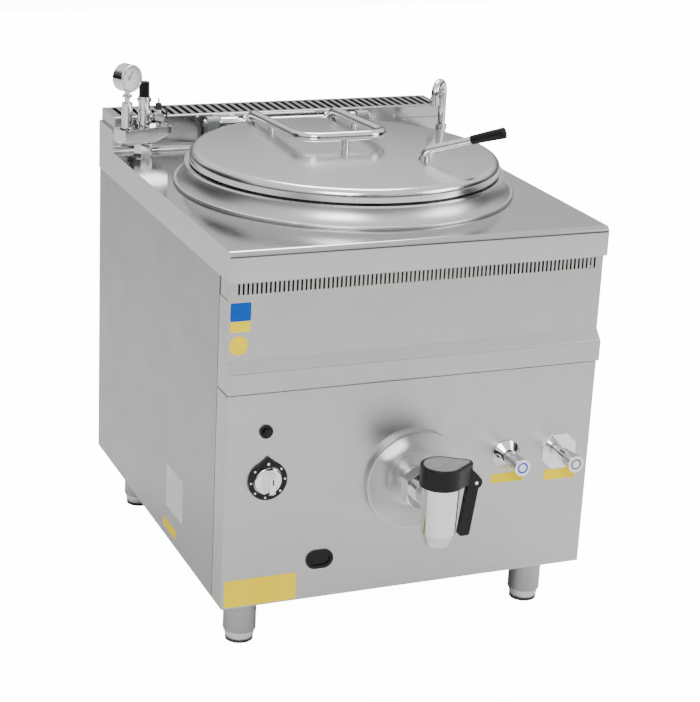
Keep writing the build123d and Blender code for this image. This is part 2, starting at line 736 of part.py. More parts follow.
# ---------------------------------------------------------------- base and feet
def leg_places():
    return {
        "front_left": (-LEG_X, LEG_FRONT_Y),
        "front_right": (LEG_X, LEG_FRONT_Y),
        "rear_left": (-LEG_X, LEG_REAR_Y),
        "rear_right": (LEG_X, LEG_REAR_Y),
    }


def base_frame():
    """Welded frame of hollow rails with four leg tubes under its corner plates."""
    half = PANEL_HALF_W - PANEL_SHEET
    y0 = PANEL_SHEET
    y1 = DEPTH - TOP_SHEET - PANEL_SHEET
    z0 = BASE_Z + PANEL_SHEET
    z1 = RAIL_TOP_Z
    in_x = half - RAIL_W
    in_y0 = y0 + RAIL_W
    in_y1 = y1 - RAIL_W
    floor_z = z0 + LEG_PLATE_T
    ceiling_z = z1 - RAIL_WALL
    frame = block(-half, half, y0, y1, z0, z1)
    frame -= block(-in_x, in_x, in_y0, in_y1, z0 - 1, z1 + 1)
    for y in CROSS_RAIL_YS:
        frame += block(-in_x, in_x, y - RAIL_W / 2, y + RAIL_W / 2, z0, z1)
    for x, y in leg_places().values():
        frame += Pos(x, y, z0 + LEG_PLATE_T / 2) * Box(LEG_PLATE, LEG_PLATE, LEG_PLATE_T)
        frame += post(x, y, LEG_R, LEG_BOTTOM_Z, z0)
    wall = RAIL_WALL
    hollow = block(wall - half, half - wall, y0 + wall, y1 - wall, floor_z, ceiling_z)
    core = block(-in_x - wall, in_x + wall, in_y0 - wall, in_y1 + wall, z0, z1)
    frame -= hollow - core
    for y in CROSS_RAIL_YS:
        half_rail = RAIL_W / 2 - wall
        frame -= block(-in_x, in_x, y - half_rail, y + half_rail, z0 + wall, ceiling_z)
    for x, y in leg_places().values():
        frame -= post(x, y, LEG_R - LEG_WALL, LEG_BOTTOM_Z - 1, LEG_NUT_Z)
        frame -= post(x, y, FOOT_STUD_R + THREAD_CLEARANCE, LEG_NUT_Z - 1, LEG_NUT_Z + LEG_NUT_T)
        frame -= post(x, y, LEG_R - LEG_WALL, LEG_NUT_Z + LEG_NUT_T, z0)
    return frame


def foot(x, y):
    """Levelling foot: sleeve, screwed stud and pad."""
    sleeve_r = LEG_R - LEG_WALL - FOOT_CLEARANCE
    profile = outline(
        (0, 0),
        (FOOT_PAD_R, 0),
        (FOOT_PAD_R, FOOT_PAD_H),
        (FOOT_TIP_R, FOOT_PAD_H),
        (sleeve_r, FOOT_PAD_H + FOOT_TAPER_H),
        (sleeve_r, FOOT_TOP_Z),
        (FOOT_STUD_R, FOOT_TOP_Z),
        (FOOT_STUD_R, FOOT_STUD_TOP_Z),
        (0, FOOT_STUD_TOP_Z),
    )
    return turned_z(profile, x, y)


# ---------------------------------------------------------------- pan, jacket, collar
def vessel_form(radius, floor_z, top_z, knuckle):
    """Filled cylinder with a rounded lower edge."""
    form = post(0, PAN_Y, radius, floor_z, top_z)
    lower = form.edges().filter_by(GeomType.CIRCLE).sort_by(Axis.Z)[0]
    return fillet(lower, knuckle)


def pan_outside():
    return vessel_form(PAN_OUTER_R, PAN_FLOOR_Z - PAN_WALL, PAN_RIM_Z, PAN_KNUCKLE_R + PAN_WALL)


def pan_vessel():
    """Rolled shell with its rim, welded to a pressed bottom with a rounded edge."""
    body = pan_outside() + post(0, PAN_Y, PAN_FLANGE_R, COLLAR_TOP_Z, PAN_RIM_Z)
    body -= vessel_form(PAN_R, PAN_FLOOR_Z, PAN_RIM_Z + 1, PAN_KNUCKLE_R)
    body -= bar_y(0, DRAIN_Z, DRAIN_BORE_R, PAN_Y - PAN_R - PAN_WALL - 1, PAN_Y)
    weld_z = DRAIN_Z + DRAIN_BORE_R + PAN_KNUCKLE_R
    bottom = body & post(0, PAN_Y, PAN_FLANGE_R + 1, 0, weld_z)
    shell = body & post(0, PAN_Y, PAN_FLANGE_R + 1, weld_z, PAN_RIM_Z + 1)
    return Compound([shell.solids()[0], bottom.solids()[0]])


def steam_jacket():
    body = vessel_form(JACKET_R, JACKET_BOTTOM_Z, JACKET_TOP_Z, JACKET_KNUCKLE_R)
    body -= vessel_form(
        JACKET_R - JACKET_WALL,
        JACKET_BOTTOM_Z + JACKET_WALL,
        JACKET_TOP_Z - JACKET_WALL,
        JACKET_KNUCKLE_R - JACKET_WALL,
    )
    body -= post(0, PAN_Y, PAN_OUTER_R + BEARING_CLEARANCE, JACKET_TOP_Z - 2 * JACKET_WALL, JACKET_TOP_Z + 1)
    return body - bar_y(0, DRAIN_Z, DRAIN_PIPE_R, 0, PAN_Y)


def jacket_insulation():
    z0 = JACKET_BOTTOM_Z + WOOL_INSET
    z1 = JACKET_TOP_Z - WOOL_INSET
    body = post(0, PAN_Y, WOOL_OUTER_R, z0, z1) - post(0, PAN_Y, WOOL_INNER_R, z0 - 1, z1 + 1)
    return body - bar_y(0, DRAIN_Z, DRAIN_PIPE_R + WOOL_GAP, 0, PAN_Y)


def pan_collar():
    """Flared apron between the worktop and the rim of the pan, with a rolled foot."""
    bead_z = WORKTOP_Z + COLLAR_BEAD_R - COLLAR_BEAD_SINK
    foot = (COLLAR_R - COLLAR_SHEET / 2, bead_z)
    top = (PAN_FLANGE_R - COLLAR_SHEET, COLLAR_TOP_Z)
    run = hypot(foot[0] - top[0], foot[1] - top[1])
    middle = (
        (foot[0] + top[0]) / 2 - COLLAR_FLARE * (top[1] - foot[1]) / run,
        (foot[1] + top[1]) / 2 - COLLAR_FLARE * (foot[0] - top[0]) / run,
    )
    edges = Curve() + [
        ThreePointArc(foot, middle, top),
        Line(top, (top[0] + COLLAR_SHEET, top[1])),
        ThreePointArc(
            (top[0] + COLLAR_SHEET, top[1]),
            (middle[0] + COLLAR_SHEET, middle[1]),
            (foot[0] + COLLAR_SHEET, foot[1]),
        ),
        Line((foot[0] + COLLAR_SHEET, foot[1]), foot),
    ]
    profile = make_face(edges) + Pos(COLLAR_R, bead_z) * Circle(COLLAR_BEAD_R)
    body = turned_z(profile, 0, PAN_Y)
    # the rolled foot is trimmed where it meets the cove of the upstand
    body -= Pos(0, -FIT_GAP, 0) * worktop_blank(0)
    return body


# ---------------------------------------------------------------- burner and flue
def flue_duct():
    """Burner chamber under the jacket, with the channel and duct that carry the fumes up."""
    top = JACKET_BOTTOM_Z
    duct_top = UPSTAND_Z - FIT_GAP

    def form(inset):
        over = 1 if inset else 0
        drum = post(0, PAN_Y, CHAMBER_R - inset, RAIL_TOP_Z - over, top + over)
        half_channel = DUCT_CHANNEL_W / 2 - inset
        channel = block(
            -half_channel, half_channel, PAN_Y, DUCT_FRONT_Y + 2 * inset, DUCT_CHANNEL_Z + inset, top - inset
        )
        half_duct = DUCT_W / 2 - inset
        duct = block(
            -half_duct,
            half_duct,
            DUCT_FRONT_Y + inset,
            DUCT_REAR_Y - inset,
            DUCT_CHANNEL_Z + inset,
            duct_top + over,
        )
        return drum + channel + duct

    body = form(0) - form(DUCT_SHEET)
    return body - bar_y(0, BURNER_Z, MIXER_R + WOOL_GAP, 0, PAN_Y - CHAMBER_R / 2)


def burner():
    """Ring burner with its mixing tube, pilot and two brackets."""
    ring = Pos(0, PAN_Y, BURNER_Z) * Torus(BURNER_R, BURNER_TUBE_R)
    mixer = bar_y(0, BURNER_Z, MIXER_R, MIXER_FRONT_Y, PAN_Y - BURNER_R)
    body = ring + mixer
    body -= bar_y(0, BURNER_Z, GAS_PIPE_R + FIT_GAP, MIXER_FRONT_Y - 1, MIXER_FRONT_Y + 2 * MIXER_R)
    for y in CROSS_RAIL_YS:
        reach = sqrt(BURNER_R**2 - (y - PAN_Y) ** 2)
        for x in (-reach, reach):
            half = BURNER_BRACKET_W / 2
            body += block(x - half, x + half, y - half, y + half, RAIL_TOP_Z, BURNER_Z)
    ports = PolarLocations(BURNER_R, PORT_COUNT)
    drill = Pos(0, PAN_Y, BURNER_Z + BURNER_TUBE_R) * Box(PORT_R, PORT_R, BURNER_TUBE_R)
    for place in ports:
        body -= Pos(place.position.X, place.position.Y, 0) * drill
    pilot_x = -(BURNER_R + BURNER_TUBE_R + PILOT_R)
    pilot = post(pilot_x, PAN_Y, PILOT_R, BURNER_Z - BURNER_TUBE_R, BURNER_Z - BURNER_TUBE_R + PILOT_H)
    shelf = block(
        pilot_x - PILOT_R, -BURNER_R, PAN_Y - PILOT_R, PAN_Y + PILOT_R, BURNER_Z - BURNER_TUBE_R, BURNER_Z
    )
    return body + pilot + shelf


# ---------------------------------------------------------------- lid
def lid_section(inset):
    """Half section of the lid, filled down to its lower edge."""
    r = LID_R - inset
    edge_r = LID_EDGE_R - inset
    low = LID_BOTTOM_Z - (1 if inset else 0)
    corner = LID_EDGE_R * sqrt(0.5)
    arc_mid_r = LID_DOME_R + (corner - inset * sqrt(0.5))
    arc_mid_z = LID_EDGE_Z + (corner - inset * sqrt(0.5))
    shoulder = (LID_DOME_R, LID_EDGE_Z + edge_r)
    crown = (0, LID_TOP_Z - inset)
    dome_radius = (LID_DOME_R**2 + LID_DOME_H**2) / (2 * LID_DOME_H)
    half_r = LID_DOME_R / 2
    half_z = crown[1] - (dome_radius - sqrt(dome_radius**2 - half_r**2))
    edges = Curve() + [
        Line((0, low), (r, low)),
        Line((r, low), (r, LID_EDGE_Z)),
        ThreePointArc((r, LID_EDGE_Z), (arc_mid_r, arc_mid_z), shoulder),
        ThreePointArc(shoulder, (half_r, half_z), crown),
        Line(crown, (0, low)),
    ]
    return make_face(edges)


def lid_form(inset):
    return turned_z(lid_section(inset), 0, PAN_Y)


def lid_cover():
    return lid_form(0) - lid_form(LID_SHEET)


def lid_liner():
    """Inner skin of the lid: a seal on the pan's rim, and a pan that dips into its mouth."""
    lip_r = PAN_R - LINER_LIP_GAP
    seal_r = LID_R - LID_GROOVE_D
    low = PAN_RIM_Z + FIT_GAP
    t = LID_SHEET
    z0 = LID_BOTTOM_Z
    profile = outline(
        (0, z0 - LINER_DEPTH),
        (lip_r - t, z0 - LINER_DEPTH),
        (lip_r, low),
        (seal_r, low),
        (seal_r, z0),
        (LID_R - t, z0),
        (LID_R - t, z0 + t),
        (lip_r - t, z0 + t),
        (lip_r - 2 * t, z0 - LINER_DEPTH + t),
        (0, z0 - LINER_DEPTH + t),
    )
    return turned_z(profile, 0, PAN_Y)


def arm_points():
    right = [
        (ARM_X, HINGE_Y, HINGE_Z),
        (ARM_X, ARM_SHOULDER_Y, ARM_SHOULDER_Z),
        (ARM_X, PAN_Y, ARM_FRONT_Z),
    ]
    left = [(-x, y, z) for x, y, z in reversed(right)]
    return right + left


def lid_arm():
    """U-shaped tube over the lid, with a lug on the hinge shaft at each end."""
    path = FilletPolyline(*arm_points(), radius=ARM_BEND_R)
    section = Circle(ARM_R) - Circle(ARM_R - ARM_WALL)
    tube = sweep((path ^ 0) * section, path=path)
    for x in (-ARM_X, ARM_X):
        lug = bar_x(HINGE_Y, HINGE_Z, ARM_LUG_R, x - ARM_LUG_W / 2, x + ARM_LUG_W / 2)
        tube += lug
    return tube - bar_x(HINGE_Y, HINGE_Z, HINGE_SHAFT_R + BEARING_CLEARANCE, -HALF_W, HALF_W)


def solid_arm():
    return piped(arm_points(), ARM_R, ARM_BEND_R)


def lid_arm_fixings():
    """Centre stud and two side posts that carry the lid under the arm."""
    arm = solid_arm()
    lid = lid_form(0)
    fixings = []
    for x, y, r in ((0, PAN_Y, STUD_R), (-ARM_X, POST_Y, POST_R), (ARM_X, POST_Y, POST_R)):
        stud = post(x, y, r, LID_SHOULDER_Z, ARM_FRONT_Z)
        trimmed = (stud - lid - arm).solids().sort_by(Axis.Z)[0]
        fixings.append(trimmed)
    return Compound(fixings)


def hinge_shaft():
    x1 = HINGE_BLOCK_X + HINGE_BLOCK_W / 2 + SHAFT_OVERHANG
    shaft = bar_x(HINGE_Y, HINGE_Z, HINGE_SHAFT_R, -x1, x1)
    for side in (-1, 1):
        x_pair = sorted((side * SLEEVE_X0, side * SLEEVE_X1))
        shaft += bar_x(HINGE_Y, HINGE_Z, SLEEVE_R, *x_pair)
    return shaft


def hinge_block():
    """Right-hand bearing block, relieved round the foot of the collar."""
    x0 = HINGE_BLOCK_X - HINGE_BLOCK_W / 2
    x1 = HINGE_BLOCK_X + HINGE_BLOCK_W / 2
    front_y = HINGE_Y - HINGE_BLOCK_D / 2
    rear_y = HINGE_Y + HINGE_BLOCK_D / 2
    body = block(x0, x1, front_y, rear_y, WORKTOP_Z, HINGE_Z + HINGE_BLOCK_TOP_R)
    top_edges = body.edges().filter_by(Axis.X).sort_by(Axis.Z)[-2:]
    body = fillet(top_edges, HINGE_BLOCK_TOP_R * 2 / 3)
    body += block(
        HINGE_BLOCK_X - HINGE_FOOT_W / 2,
        HINGE_BLOCK_X + HINGE_FOOT_W / 2,
        front_y + HINGE_FOOT_STEP,
        rear_y,
        WORKTOP_Z,
        WORKTOP_Z + HINGE_FOOT_T,
    )
    rear_edges = body.edges().filter_by(Axis.X).group_by(Axis.Z)[0].group_by(Axis.Y)[-1]
    body = chamfer(rear_edges, HINGE_BLOCK_RELIEF)
    bead_r = COLLAR_FOOT_R + FIT_GAP
    body -= post(0, PAN_Y, bead_r, WORKTOP_Z - 1, WORKTOP_Z + 3 * COLLAR_BEAD_R)
    return body - bar_x(HINGE_Y, HINGE_Z, HINGE_SHAFT_R + BEARING_CLEARANCE, x0 - 1, x1 + 1)


def hinge_blocks():
    right = hinge_block()
    return Compound([right.solids()[0], mirrored(right).solids()[0]])


def handle_points():
    """Centre line of the lid handle, in (radius, z) about the middle of the lid."""
    low = LID_SHOULDER_Z
    bend = (HANDLE_FOOT_RADIUS, LID_TOP_Z + HANDLE_RISE)
    run = GRIP_START + GRIP_LENGTH * cos(radians(HANDLE_SLOPE)) - GRIP_TIP_R
    tip = (HANDLE_FOOT_RADIUS + run, bend[1] + run * tan(radians(HANDLE_SLOPE)))
    return [(HANDLE_FOOT_RADIUS, low), bend, tip]


def about_lid(shape):
    """Turn a shape drawn along +X about the lid centre to the handle's direction."""
    return Pos(0, PAN_Y, 0) * Rot(0, 0, HANDLE_ANGLE) * shape


def lid_handle():
    rod = piped([(r, 0, z) for r, z in handle_points()], HANDLE_ROD_R, HANDLE_BEND_R)
    flange = post(
        HANDLE_FOOT_RADIUS, 0, HANDLE_FOOT_FLANGE_R, LID_SHOULDER_Z, LID_TOP_Z + HANDLE_FOOT_FLANGE_T
    )
    return (about_lid(rod + flange) - lid_form(0)).solids().sort_by(Axis.Z)[-1]


def lid_grip():
    """Moulded grip, thicker towards its tip, pushed over the end of the handle rod."""
    (_, _), (bend_r, bend_z), (tip_r, tip_z) = handle_points()
    start_z = bend_z + (GRIP_START_RADIUS - bend_r) * tan(radians(HANDLE_SLOPE))
    rod_left = hypot(tip_r - GRIP_START_RADIUS, tip_z - start_z)
    grip = Pos(0, 0, GRIP_LENGTH / 2) * Cone(GRIP_R, GRIP_TIP_R, GRIP_LENGTH)
    grip = fillet(grip.edges().filter_by(GeomType.CIRCLE).sort_by(Axis.Z)[-1], GRIP_END_R)
    bore_r = HANDLE_ROD_R + GRIP_BORE_CLEARANCE
    grip -= Pos(0, 0, rod_left / 2) * Cylinder(bore_r, rod_left + GRIP_BORE_CLEARANCE)
    grip -= Pos(0, 0, -GRIP_R / 2) * Cylinder(bore_r, 2 * GRIP_R)
    along = Pos(GRIP_START_RADIUS, 0, start_z) * Rot(0, 90 - HANDLE_SLOPE, 0)
    return about_lid(along * grip)


# ---------------------------------------------------------------- water spout
def spout_base():
    """Swivel socket of the spout: flange, hexagon, neck and gland nut."""
    hex_z = WORKTOP_Z + SPOUT_BASE_FLANGE_T
    neck_z = hex_z + SPOUT_BASE_HEX_T
    nut_z = neck_z + SPOUT_NECK_H
    profile = outline(
        (0, WORKTOP_Z),
        (SPOUT_BASE_R, WORKTOP_Z),
        (SPOUT_BASE_R, hex_z),
        (SPOUT_NECK_R, neck_z),
        (SPOUT_NECK_R, nut_z),
        (SPOUT_NUT_R, nut_z),
        (SPOUT_NUT_R, SPOUT_BASE_TOP_Z),
        (0, SPOUT_BASE_TOP_Z),
    )
    body = turned_z(profile, SPOUT_X, SPOUT_Y)
    body += hex_post(SPOUT_X, SPOUT_Y, SPOUT_BASE_HEX, hex_z, neck_z)
    bore_r = SPOUT_TUBE_R + BEARING_CLEARANCE
    body -= post(SPOUT_X, SPOUT_Y, bore_r, SPOUT_SEAT_Z - FIT_GAP, SPOUT_BASE_TOP_Z + 1)
    return body - post(SPOUT_X, SPOUT_Y, SPOUT_TUBE_R - SPOUT_TUBE_WALL, WORKTOP_Z - 1, SPOUT_SEAT_Z)


def water_spout():
    """Goose neck: riser, half-round arch and outlet with a nozzle."""
    reach = 2 * SPOUT_ARCH_R
    arch_top = SPOUT_RISER_Z + SPOUT_ARCH_R
    path = Curve() + [
        Line((0, 0, SPOUT_SEAT_Z), (0, 0, SPOUT_RISER_Z)),
        ThreePointArc((0, 0, SPOUT_RISER_Z), (SPOUT_ARCH_R, 0, arch_top), (reach, 0, SPOUT_RISER_Z)),
        Line((reach, 0, SPOUT_RISER_Z), (reach, 0, SPOUT_OUTLET_Z)),
    ]
    section = Circle(SPOUT_TUBE_R) - Circle(SPOUT_TUBE_R - SPOUT_TUBE_WALL)
    tube = sweep(Pos(0, 0, SPOUT_SEAT_Z) * section, path=path)
    nozzle_top = SPOUT_OUTLET_Z + SPOUT_NOZZLE_H
    nozzle = post(reach, 0, SPOUT_NOZZLE_R, SPOUT_OUTLET_Z, nozzle_top)
    nozzle -= post(reach, 0, SPOUT_TUBE_R - SPOUT_TUBE_WALL, SPOUT_OUTLET_Z - 1, nozzle_top + 1)
    return Pos(SPOUT_X, SPOUT_Y, 0) * Rot(0, 0, SPOUT_ANGLE) * (tube + nozzle)


# ---------------------------------------------------------------- safety group
def safety_column():
    """Hexagon column on the worktop, with the pipe that comes up from the jacket."""
    top = WORKTOP_Z + COLUMN_HEX_H
    away = hypot(COLUMN_X, COLUMN_Y - PAN_Y)
    landing = (PAN_OUTER_R + JACKET_R) / 2 / away
    x1 = COLUMN_X * landing
    y1 = PAN_Y + (COLUMN_Y - PAN_Y) * landing
    points = [
        (COLUMN_X, COLUMN_Y, WORKTOP_Z + COLUMN_HEX_H / 2),
        (COLUMN_X, COLUMN_Y, COLUMN_PIPE_Z),
        (x1, y1, COLUMN_PIPE_Z),
        (x1, y1, JACKET_TOP_Z),
    ]
    body = piped(points, COLUMN_PIPE_R, COLUMN_BEND_R)
    body += hex_post(COLUMN_X, COLUMN_Y, COLUMN_HEX, WORKTOP_Z + COLUMN_WASHER_T, top)
    return body + post(COLUMN_X, COLUMN_Y, COLUMN_WASHER_R, WORKTOP_Z, WORKTOP_Z + COLUMN_WASHER_T)


def safety_dish():
    """Boat-shaped drip tray that carries the gauge and the valves, with a square stern."""
    low = WORKTOP_Z + COLUMN_HEX_H
    rim = DISH_TOP_Z - DISH_RIM_H
    half_l = DISH_L / 2
    keel_end = DISH_KEEL_L - half_l
    stern = low + DISH_STERN_CHAMFER
    side = make_face(
        Curve()
        + [
            Polyline(
                (half_l, rim),
                (half_l, DISH_TOP_Z),
                (-half_l, DISH_TOP_Z),
                (-half_l, stern),
                (DISH_STERN_CHAMFER - half_l, low),
                (keel_end, low),
            ),
            TangentArc((keel_end, low), (half_l, rim), tangent=(1, 0)),
        ]
    )
    hull = extruded_y(side, -DISH_W / 2, DISH_W / 2)
    keel_edges = hull.edges().filter_by(Axis.X).group_by(Axis.Z)[0]
    hull = fillet(keel_edges, DISH_KEEL_EDGE)

    def deck(inset, z0, z1):
        bow_r = DISH_W / 2
        flat = Pos(-bow_r / 2, 0) * Rectangle(DISH_L - bow_r - 2 * inset, DISH_W - 2 * inset)
        face = flat + Pos(half_l - bow_r, 0) * Circle(bow_r - inset)
        return Pos(0, 0, z0) * extrude(face, z1 - z0)

    body = (hull & deck(0, low, DISH_TOP_Z)) - deck(DISH_WALL, DISH_FLOOR_Z, DISH_TOP_Z + 1)
    return Pos(DISH_X, DISH_Y, 0) * Rot(0, 0, DISH_YAW) * body


def gauge_placed(shape):
    """Move a shape drawn about the gauge axis (+Z out of the dial) to the gauge."""
    return Pos(PILLAR_X, PILLAR_Y, GAUGE_Z) * Rot(0, 0, GAUGE_AIM) * Rot(90, 0, 0) * shape


def gauge_pillar():
    nut_z = GAUGE_Z - GAUGE_R - PILLAR_NECK_L
    body = post(PILLAR_X, PILLAR_Y, PILLAR_R, DISH_FLOOR_Z, nut_z - PILLAR_NECK_L)
    body += post(PILLAR_X, PILLAR_Y, PILLAR_FOOT_R, DISH_FLOOR_Z, DISH_FLOOR_Z + PILLAR_FOOT_H)
    body += post(PILLAR_X, PILLAR_Y, PILLAR_NECK_R, DISH_FLOOR_Z, GAUGE_Z)
    body += hex_post(PILLAR_X, PILLAR_Y, PILLAR_NUT, nut_z, nut_z + PILLAR_NUT_H)
    return body - gauge_placed(Cylinder(GAUGE_R, GAUGE_DEPTH))


def gauge_case():
    body = Cylinder(GAUGE_R, GAUGE_DEPTH)
    front = GAUGE_DEPTH / 2
    cup_depth = GAUGE_DIAL_RECESS + GAUGE_DIAL_T
    body -= Pos(0, 0, front - cup_depth / 2) * Cylinder(GAUGE_R - GAUGE_WALL, cup_depth)
    return gauge_placed(body)


def gauge_dial():
    seat = GAUGE_DEPTH / 2 - GAUGE_DIAL_RECESS - GAUGE_DIAL_T
    dial = Pos(0, 0, seat + GAUGE_DIAL_T / 2) * Cylinder(GAUGE_R - GAUGE_WALL - FIT_GAP, GAUGE_DIAL_T)
    spindle_l = NEEDLE_T + 2 * FIT_GAP
    dial += Pos(0, 0, seat + GAUGE_DIAL_T + spindle_l / 2) * Cylinder(GAUGE_STUD_R, spindle_l)
    return gauge_placed(dial)


def gauge_needle():
    seat = GAUGE_DEPTH / 2 - GAUGE_DIAL_RECESS
    blade = outline(
        (-NEEDLE_W / 2, -NEEDLE_TAIL),
        (NEEDLE_W / 2, -NEEDLE_TAIL),
        (NEEDLE_W / 4, NEEDLE_L),
        (-NEEDLE_W / 4, NEEDLE_L),
    )
    face = blade + Circle(NEEDLE_HUB_R)
    needle = extrude(face - Circle(GAUGE_STUD_R + BEARING_CLEARANCE), NEEDLE_T)
    return gauge_placed(Pos(0, 0, seat + FIT_GAP) * Rot(0, 0, -NEEDLE_REST) * needle)


def gauge_glass():
    front = GAUGE_DEPTH / 2
    glass = Cylinder(GAUGE_R - GAUGE_WALL - FIT_GAP / 10, GAUGE_GLASS_T)
    return gauge_placed(Pos(0, 0, front - GAUGE_GLASS_T / 2 - FIT_GAP) * glass)


def safety_valve_body():
    body = post(RELIEF_X, RELIEF_Y, RELIEF_R, DISH_FLOOR_Z, RELIEF_TOP_Z)
    for rise in RELIEF_COLLAR_RISES:
        z = DISH_FLOOR_Z + rise
        body += post(RELIEF_X, RELIEF_Y, RELIEF_COLLAR_R, z, z + RELIEF_COLLAR_T)
    return body + post(RELIEF_X, RELIEF_Y, RELIEF_NECK_R, RELIEF_TOP_Z, RELIEF_NECK_Z)


def safety_valve_cap():
    body = hex_post(RELIEF_X, RELIEF_Y, RELIEF_CAP_HEX, RELIEF_TOP_Z + FIT_GAP, RELIEF_CAP_TOP_Z)
    bore_r = RELIEF_NECK_R + BEARING_CLEARANCE
    return body - post(RELIEF_X, RELIEF_Y, bore_r, RELIEF_TOP_Z, RELIEF_NECK_Z + FIT_GAP)


def air_valve_body():
    """Cock with a short barrel that faces the front, on a neck in the dish."""
    barrel_z = DISH_FLOOR_Z + AIR_BARREL_RISE
    half_l = AIR_BARREL_L / 2
    body = post(AIR_X, AIR_Y, AIR_NECK_R, DISH_FLOOR_Z, AIR_BODY_TOP_Z)
    body += bar_y(AIR_X, barrel_z, AIR_BARREL_R, AIR_Y - half_l, AIR_Y + half_l)
    return body + post(AIR_X, AIR_Y, AIR_STEM_R, AIR_BODY_TOP_Z, AIR_STEM_Z)


def air_valve_knob():
    """Hub on the cock's stem with a tip on top and a bent lever that hangs beside the barrel."""
    z0 = AIR_BODY_TOP_Z + FIT_GAP
    hub_top = z0 + AIR_KNOB_T
    body = post(AIR_X, AIR_Y, AIR_KNOB_R, z0, hub_top)
    body = fillet(body.edges().filter_by(GeomType.CIRCLE).sort_by(Axis.Z)[-1], AIR_KNOB_R / 4)
    body += post(AIR_X, AIR_Y, AIR_TIP_R, z0 + AIR_KNOB_T / 2, hub_top + AIR_TIP_L)
    lever_z = z0 + AIR_KNOB_T / 2
    out_x = AIR_X + AIR_LEVER_REACH
    points = [(AIR_X, AIR_Y, lever_z), (out_x, AIR_Y, lever_z), (out_x, AIR_Y, lever_z - AIR_LEVER_DROP)]
    body += piped(points, AIR_LEVER_R, AIR_LEVER_BEND_R)
    return body - post(AIR_X, AIR_Y, AIR_STEM_R + BEARING_CLEARANCE, AIR_BODY_TOP_Z, AIR_STEM_Z + FIT_GAP)


# ---------------------------------------------------------------- drain tap
def drain_pipe():
    """Pipe from the foot of the pan through the jacket to the tap union."""
    front_y = UNION_BACK_Y - UNION_SOCKET_D
    body = bar_y(0, DRAIN_Z, DRAIN_PIPE_R, front_y, PAN_Y)
    body -= bar_y(0, DRAIN_Z, DRAIN_BORE_R, front_y - 1, PAN_Y + 1)
    return (body - pan_outside()).solids().sort_by(Axis.Y)[0]


def tap_rosette():
    """Dished cover plate round the drain pipe, with a rolled rim."""
    profile = outline(
        (DRAIN_PIPE_R + FIT_GAP, -ROSETTE_DISH_OUT),
        (ROSETTE_DISH_R, -ROSETTE_DISH_OUT),
        (ROSETTE_R - ROSETTE_RIM_R, -ROSETTE_RIM_OUT),
        (ROSETTE_R, -ROSETTE_RIM_OUT),
        (ROSETTE_R, 0),
        (ROSETTE_R - ROSETTE_SHEET, 0),
        (ROSETTE_R - ROSETTE_SHEET, ROSETTE_SHEET - ROSETTE_RIM_OUT),
        (ROSETTE_DISH_R, ROSETTE_SHEET - ROSETTE_DISH_OUT),
        (DRAIN_PIPE_R + FIT_GAP, ROSETTE_SHEET - ROSETTE_DISH_OUT),
    )
    return turned_y(profile, 0, DRAIN_Z)


def tap_union():
    """Hexagon union nut between the drain pipe and the tap."""
    face = Rot(0, 0, 90) * RegularPolygon(UNION_HEX / 2, 6, major_radius=False)
    body = Pos(0, 0, DRAIN_Z) * extruded_y(face, UNION_FRONT_Y, UNION_BACK_Y)
    cone = turned_y(
        outline(
            (0, UNION_BACK_Y),
            (DRAIN_PIPE_R + 2 * ROSETTE_SHEET, UNION_BACK_Y),
            (UNION_CORNER_R, UNION_BACK_Y - UNION_BACK_SLOPE),
            (UNION_CORNER_R, UNION_FRONT_Y + UNION_FRONT_SLOPE),
            (UNION_HEX / 2, UNION_FRONT_Y),
            (0, UNION_FRONT_Y),
        ),
        0,
        DRAIN_Z,
    )
    body = body & cone
    body -= bar_y(0, DRAIN_Z, DRAIN_BORE_R, UNION_FRONT_Y - 1, UNION_BACK_Y + 1)
    return body - bar_y(0, DRAIN_Z, DRAIN_PIPE_R, UNION_BACK_Y - UNION_SOCKET_D, UNION_BACK_Y + 1)


def tap_body():
    """Cast tap: horizontal branch, plug chamber and tapered spout."""
    profile = outline(
        (0, TAP_OUTLET_Z),
        (TAP_OUTLET_R, TAP_OUTLET_Z),
        (TAP_LOWER_R, TAP_LOWER_Z),
        (TAP_R, TAP_TOP_Z),
        (0, TAP_TOP_Z),
    )
    body = turned_z(profile, 0, TAP_Y)
    body += bar_y(0, DRAIN_Z, TAP_BRANCH_R, TAP_Y, UNION_FRONT_Y)
    body -= post(0, TAP_Y, TAP_PLUG_R + TAP_PLUG_CLEARANCE, TAP_PLUG_FLOOR_Z - FIT_GAP, TAP_TOP_Z + 1)
    body -= post(0, TAP_Y, TAP_OUTLET_BORE_R, TAP_OUTLET_Z - 1, TAP_TOP_Z)
    return body - bar_y(0, DRAIN_Z, TAP_PORT_R, TAP_Y, UNION_FRONT_Y + 1)


def tap_plug():
    """Turning plug with an elbow bore, and the stem that the cap sits on."""
    body = post(0, TAP_Y, TAP_PLUG_R, TAP_PLUG_FLOOR_Z, TAP_TOP_Z)
    body += post(0, TAP_Y, CAP_STEM_R, TAP_TOP_Z, TAP_TOP_Z + CAP_STEM_H)
    body -= post(0, TAP_Y, TAP_OUTLET_BORE_R, TAP_PLUG_FLOOR_Z - 1, DRAIN_Z)
    return body - bar_x(TAP_Y, DRAIN_Z, TAP_PORT_R - 2, -TAP_PLUG_R - 1, 0)





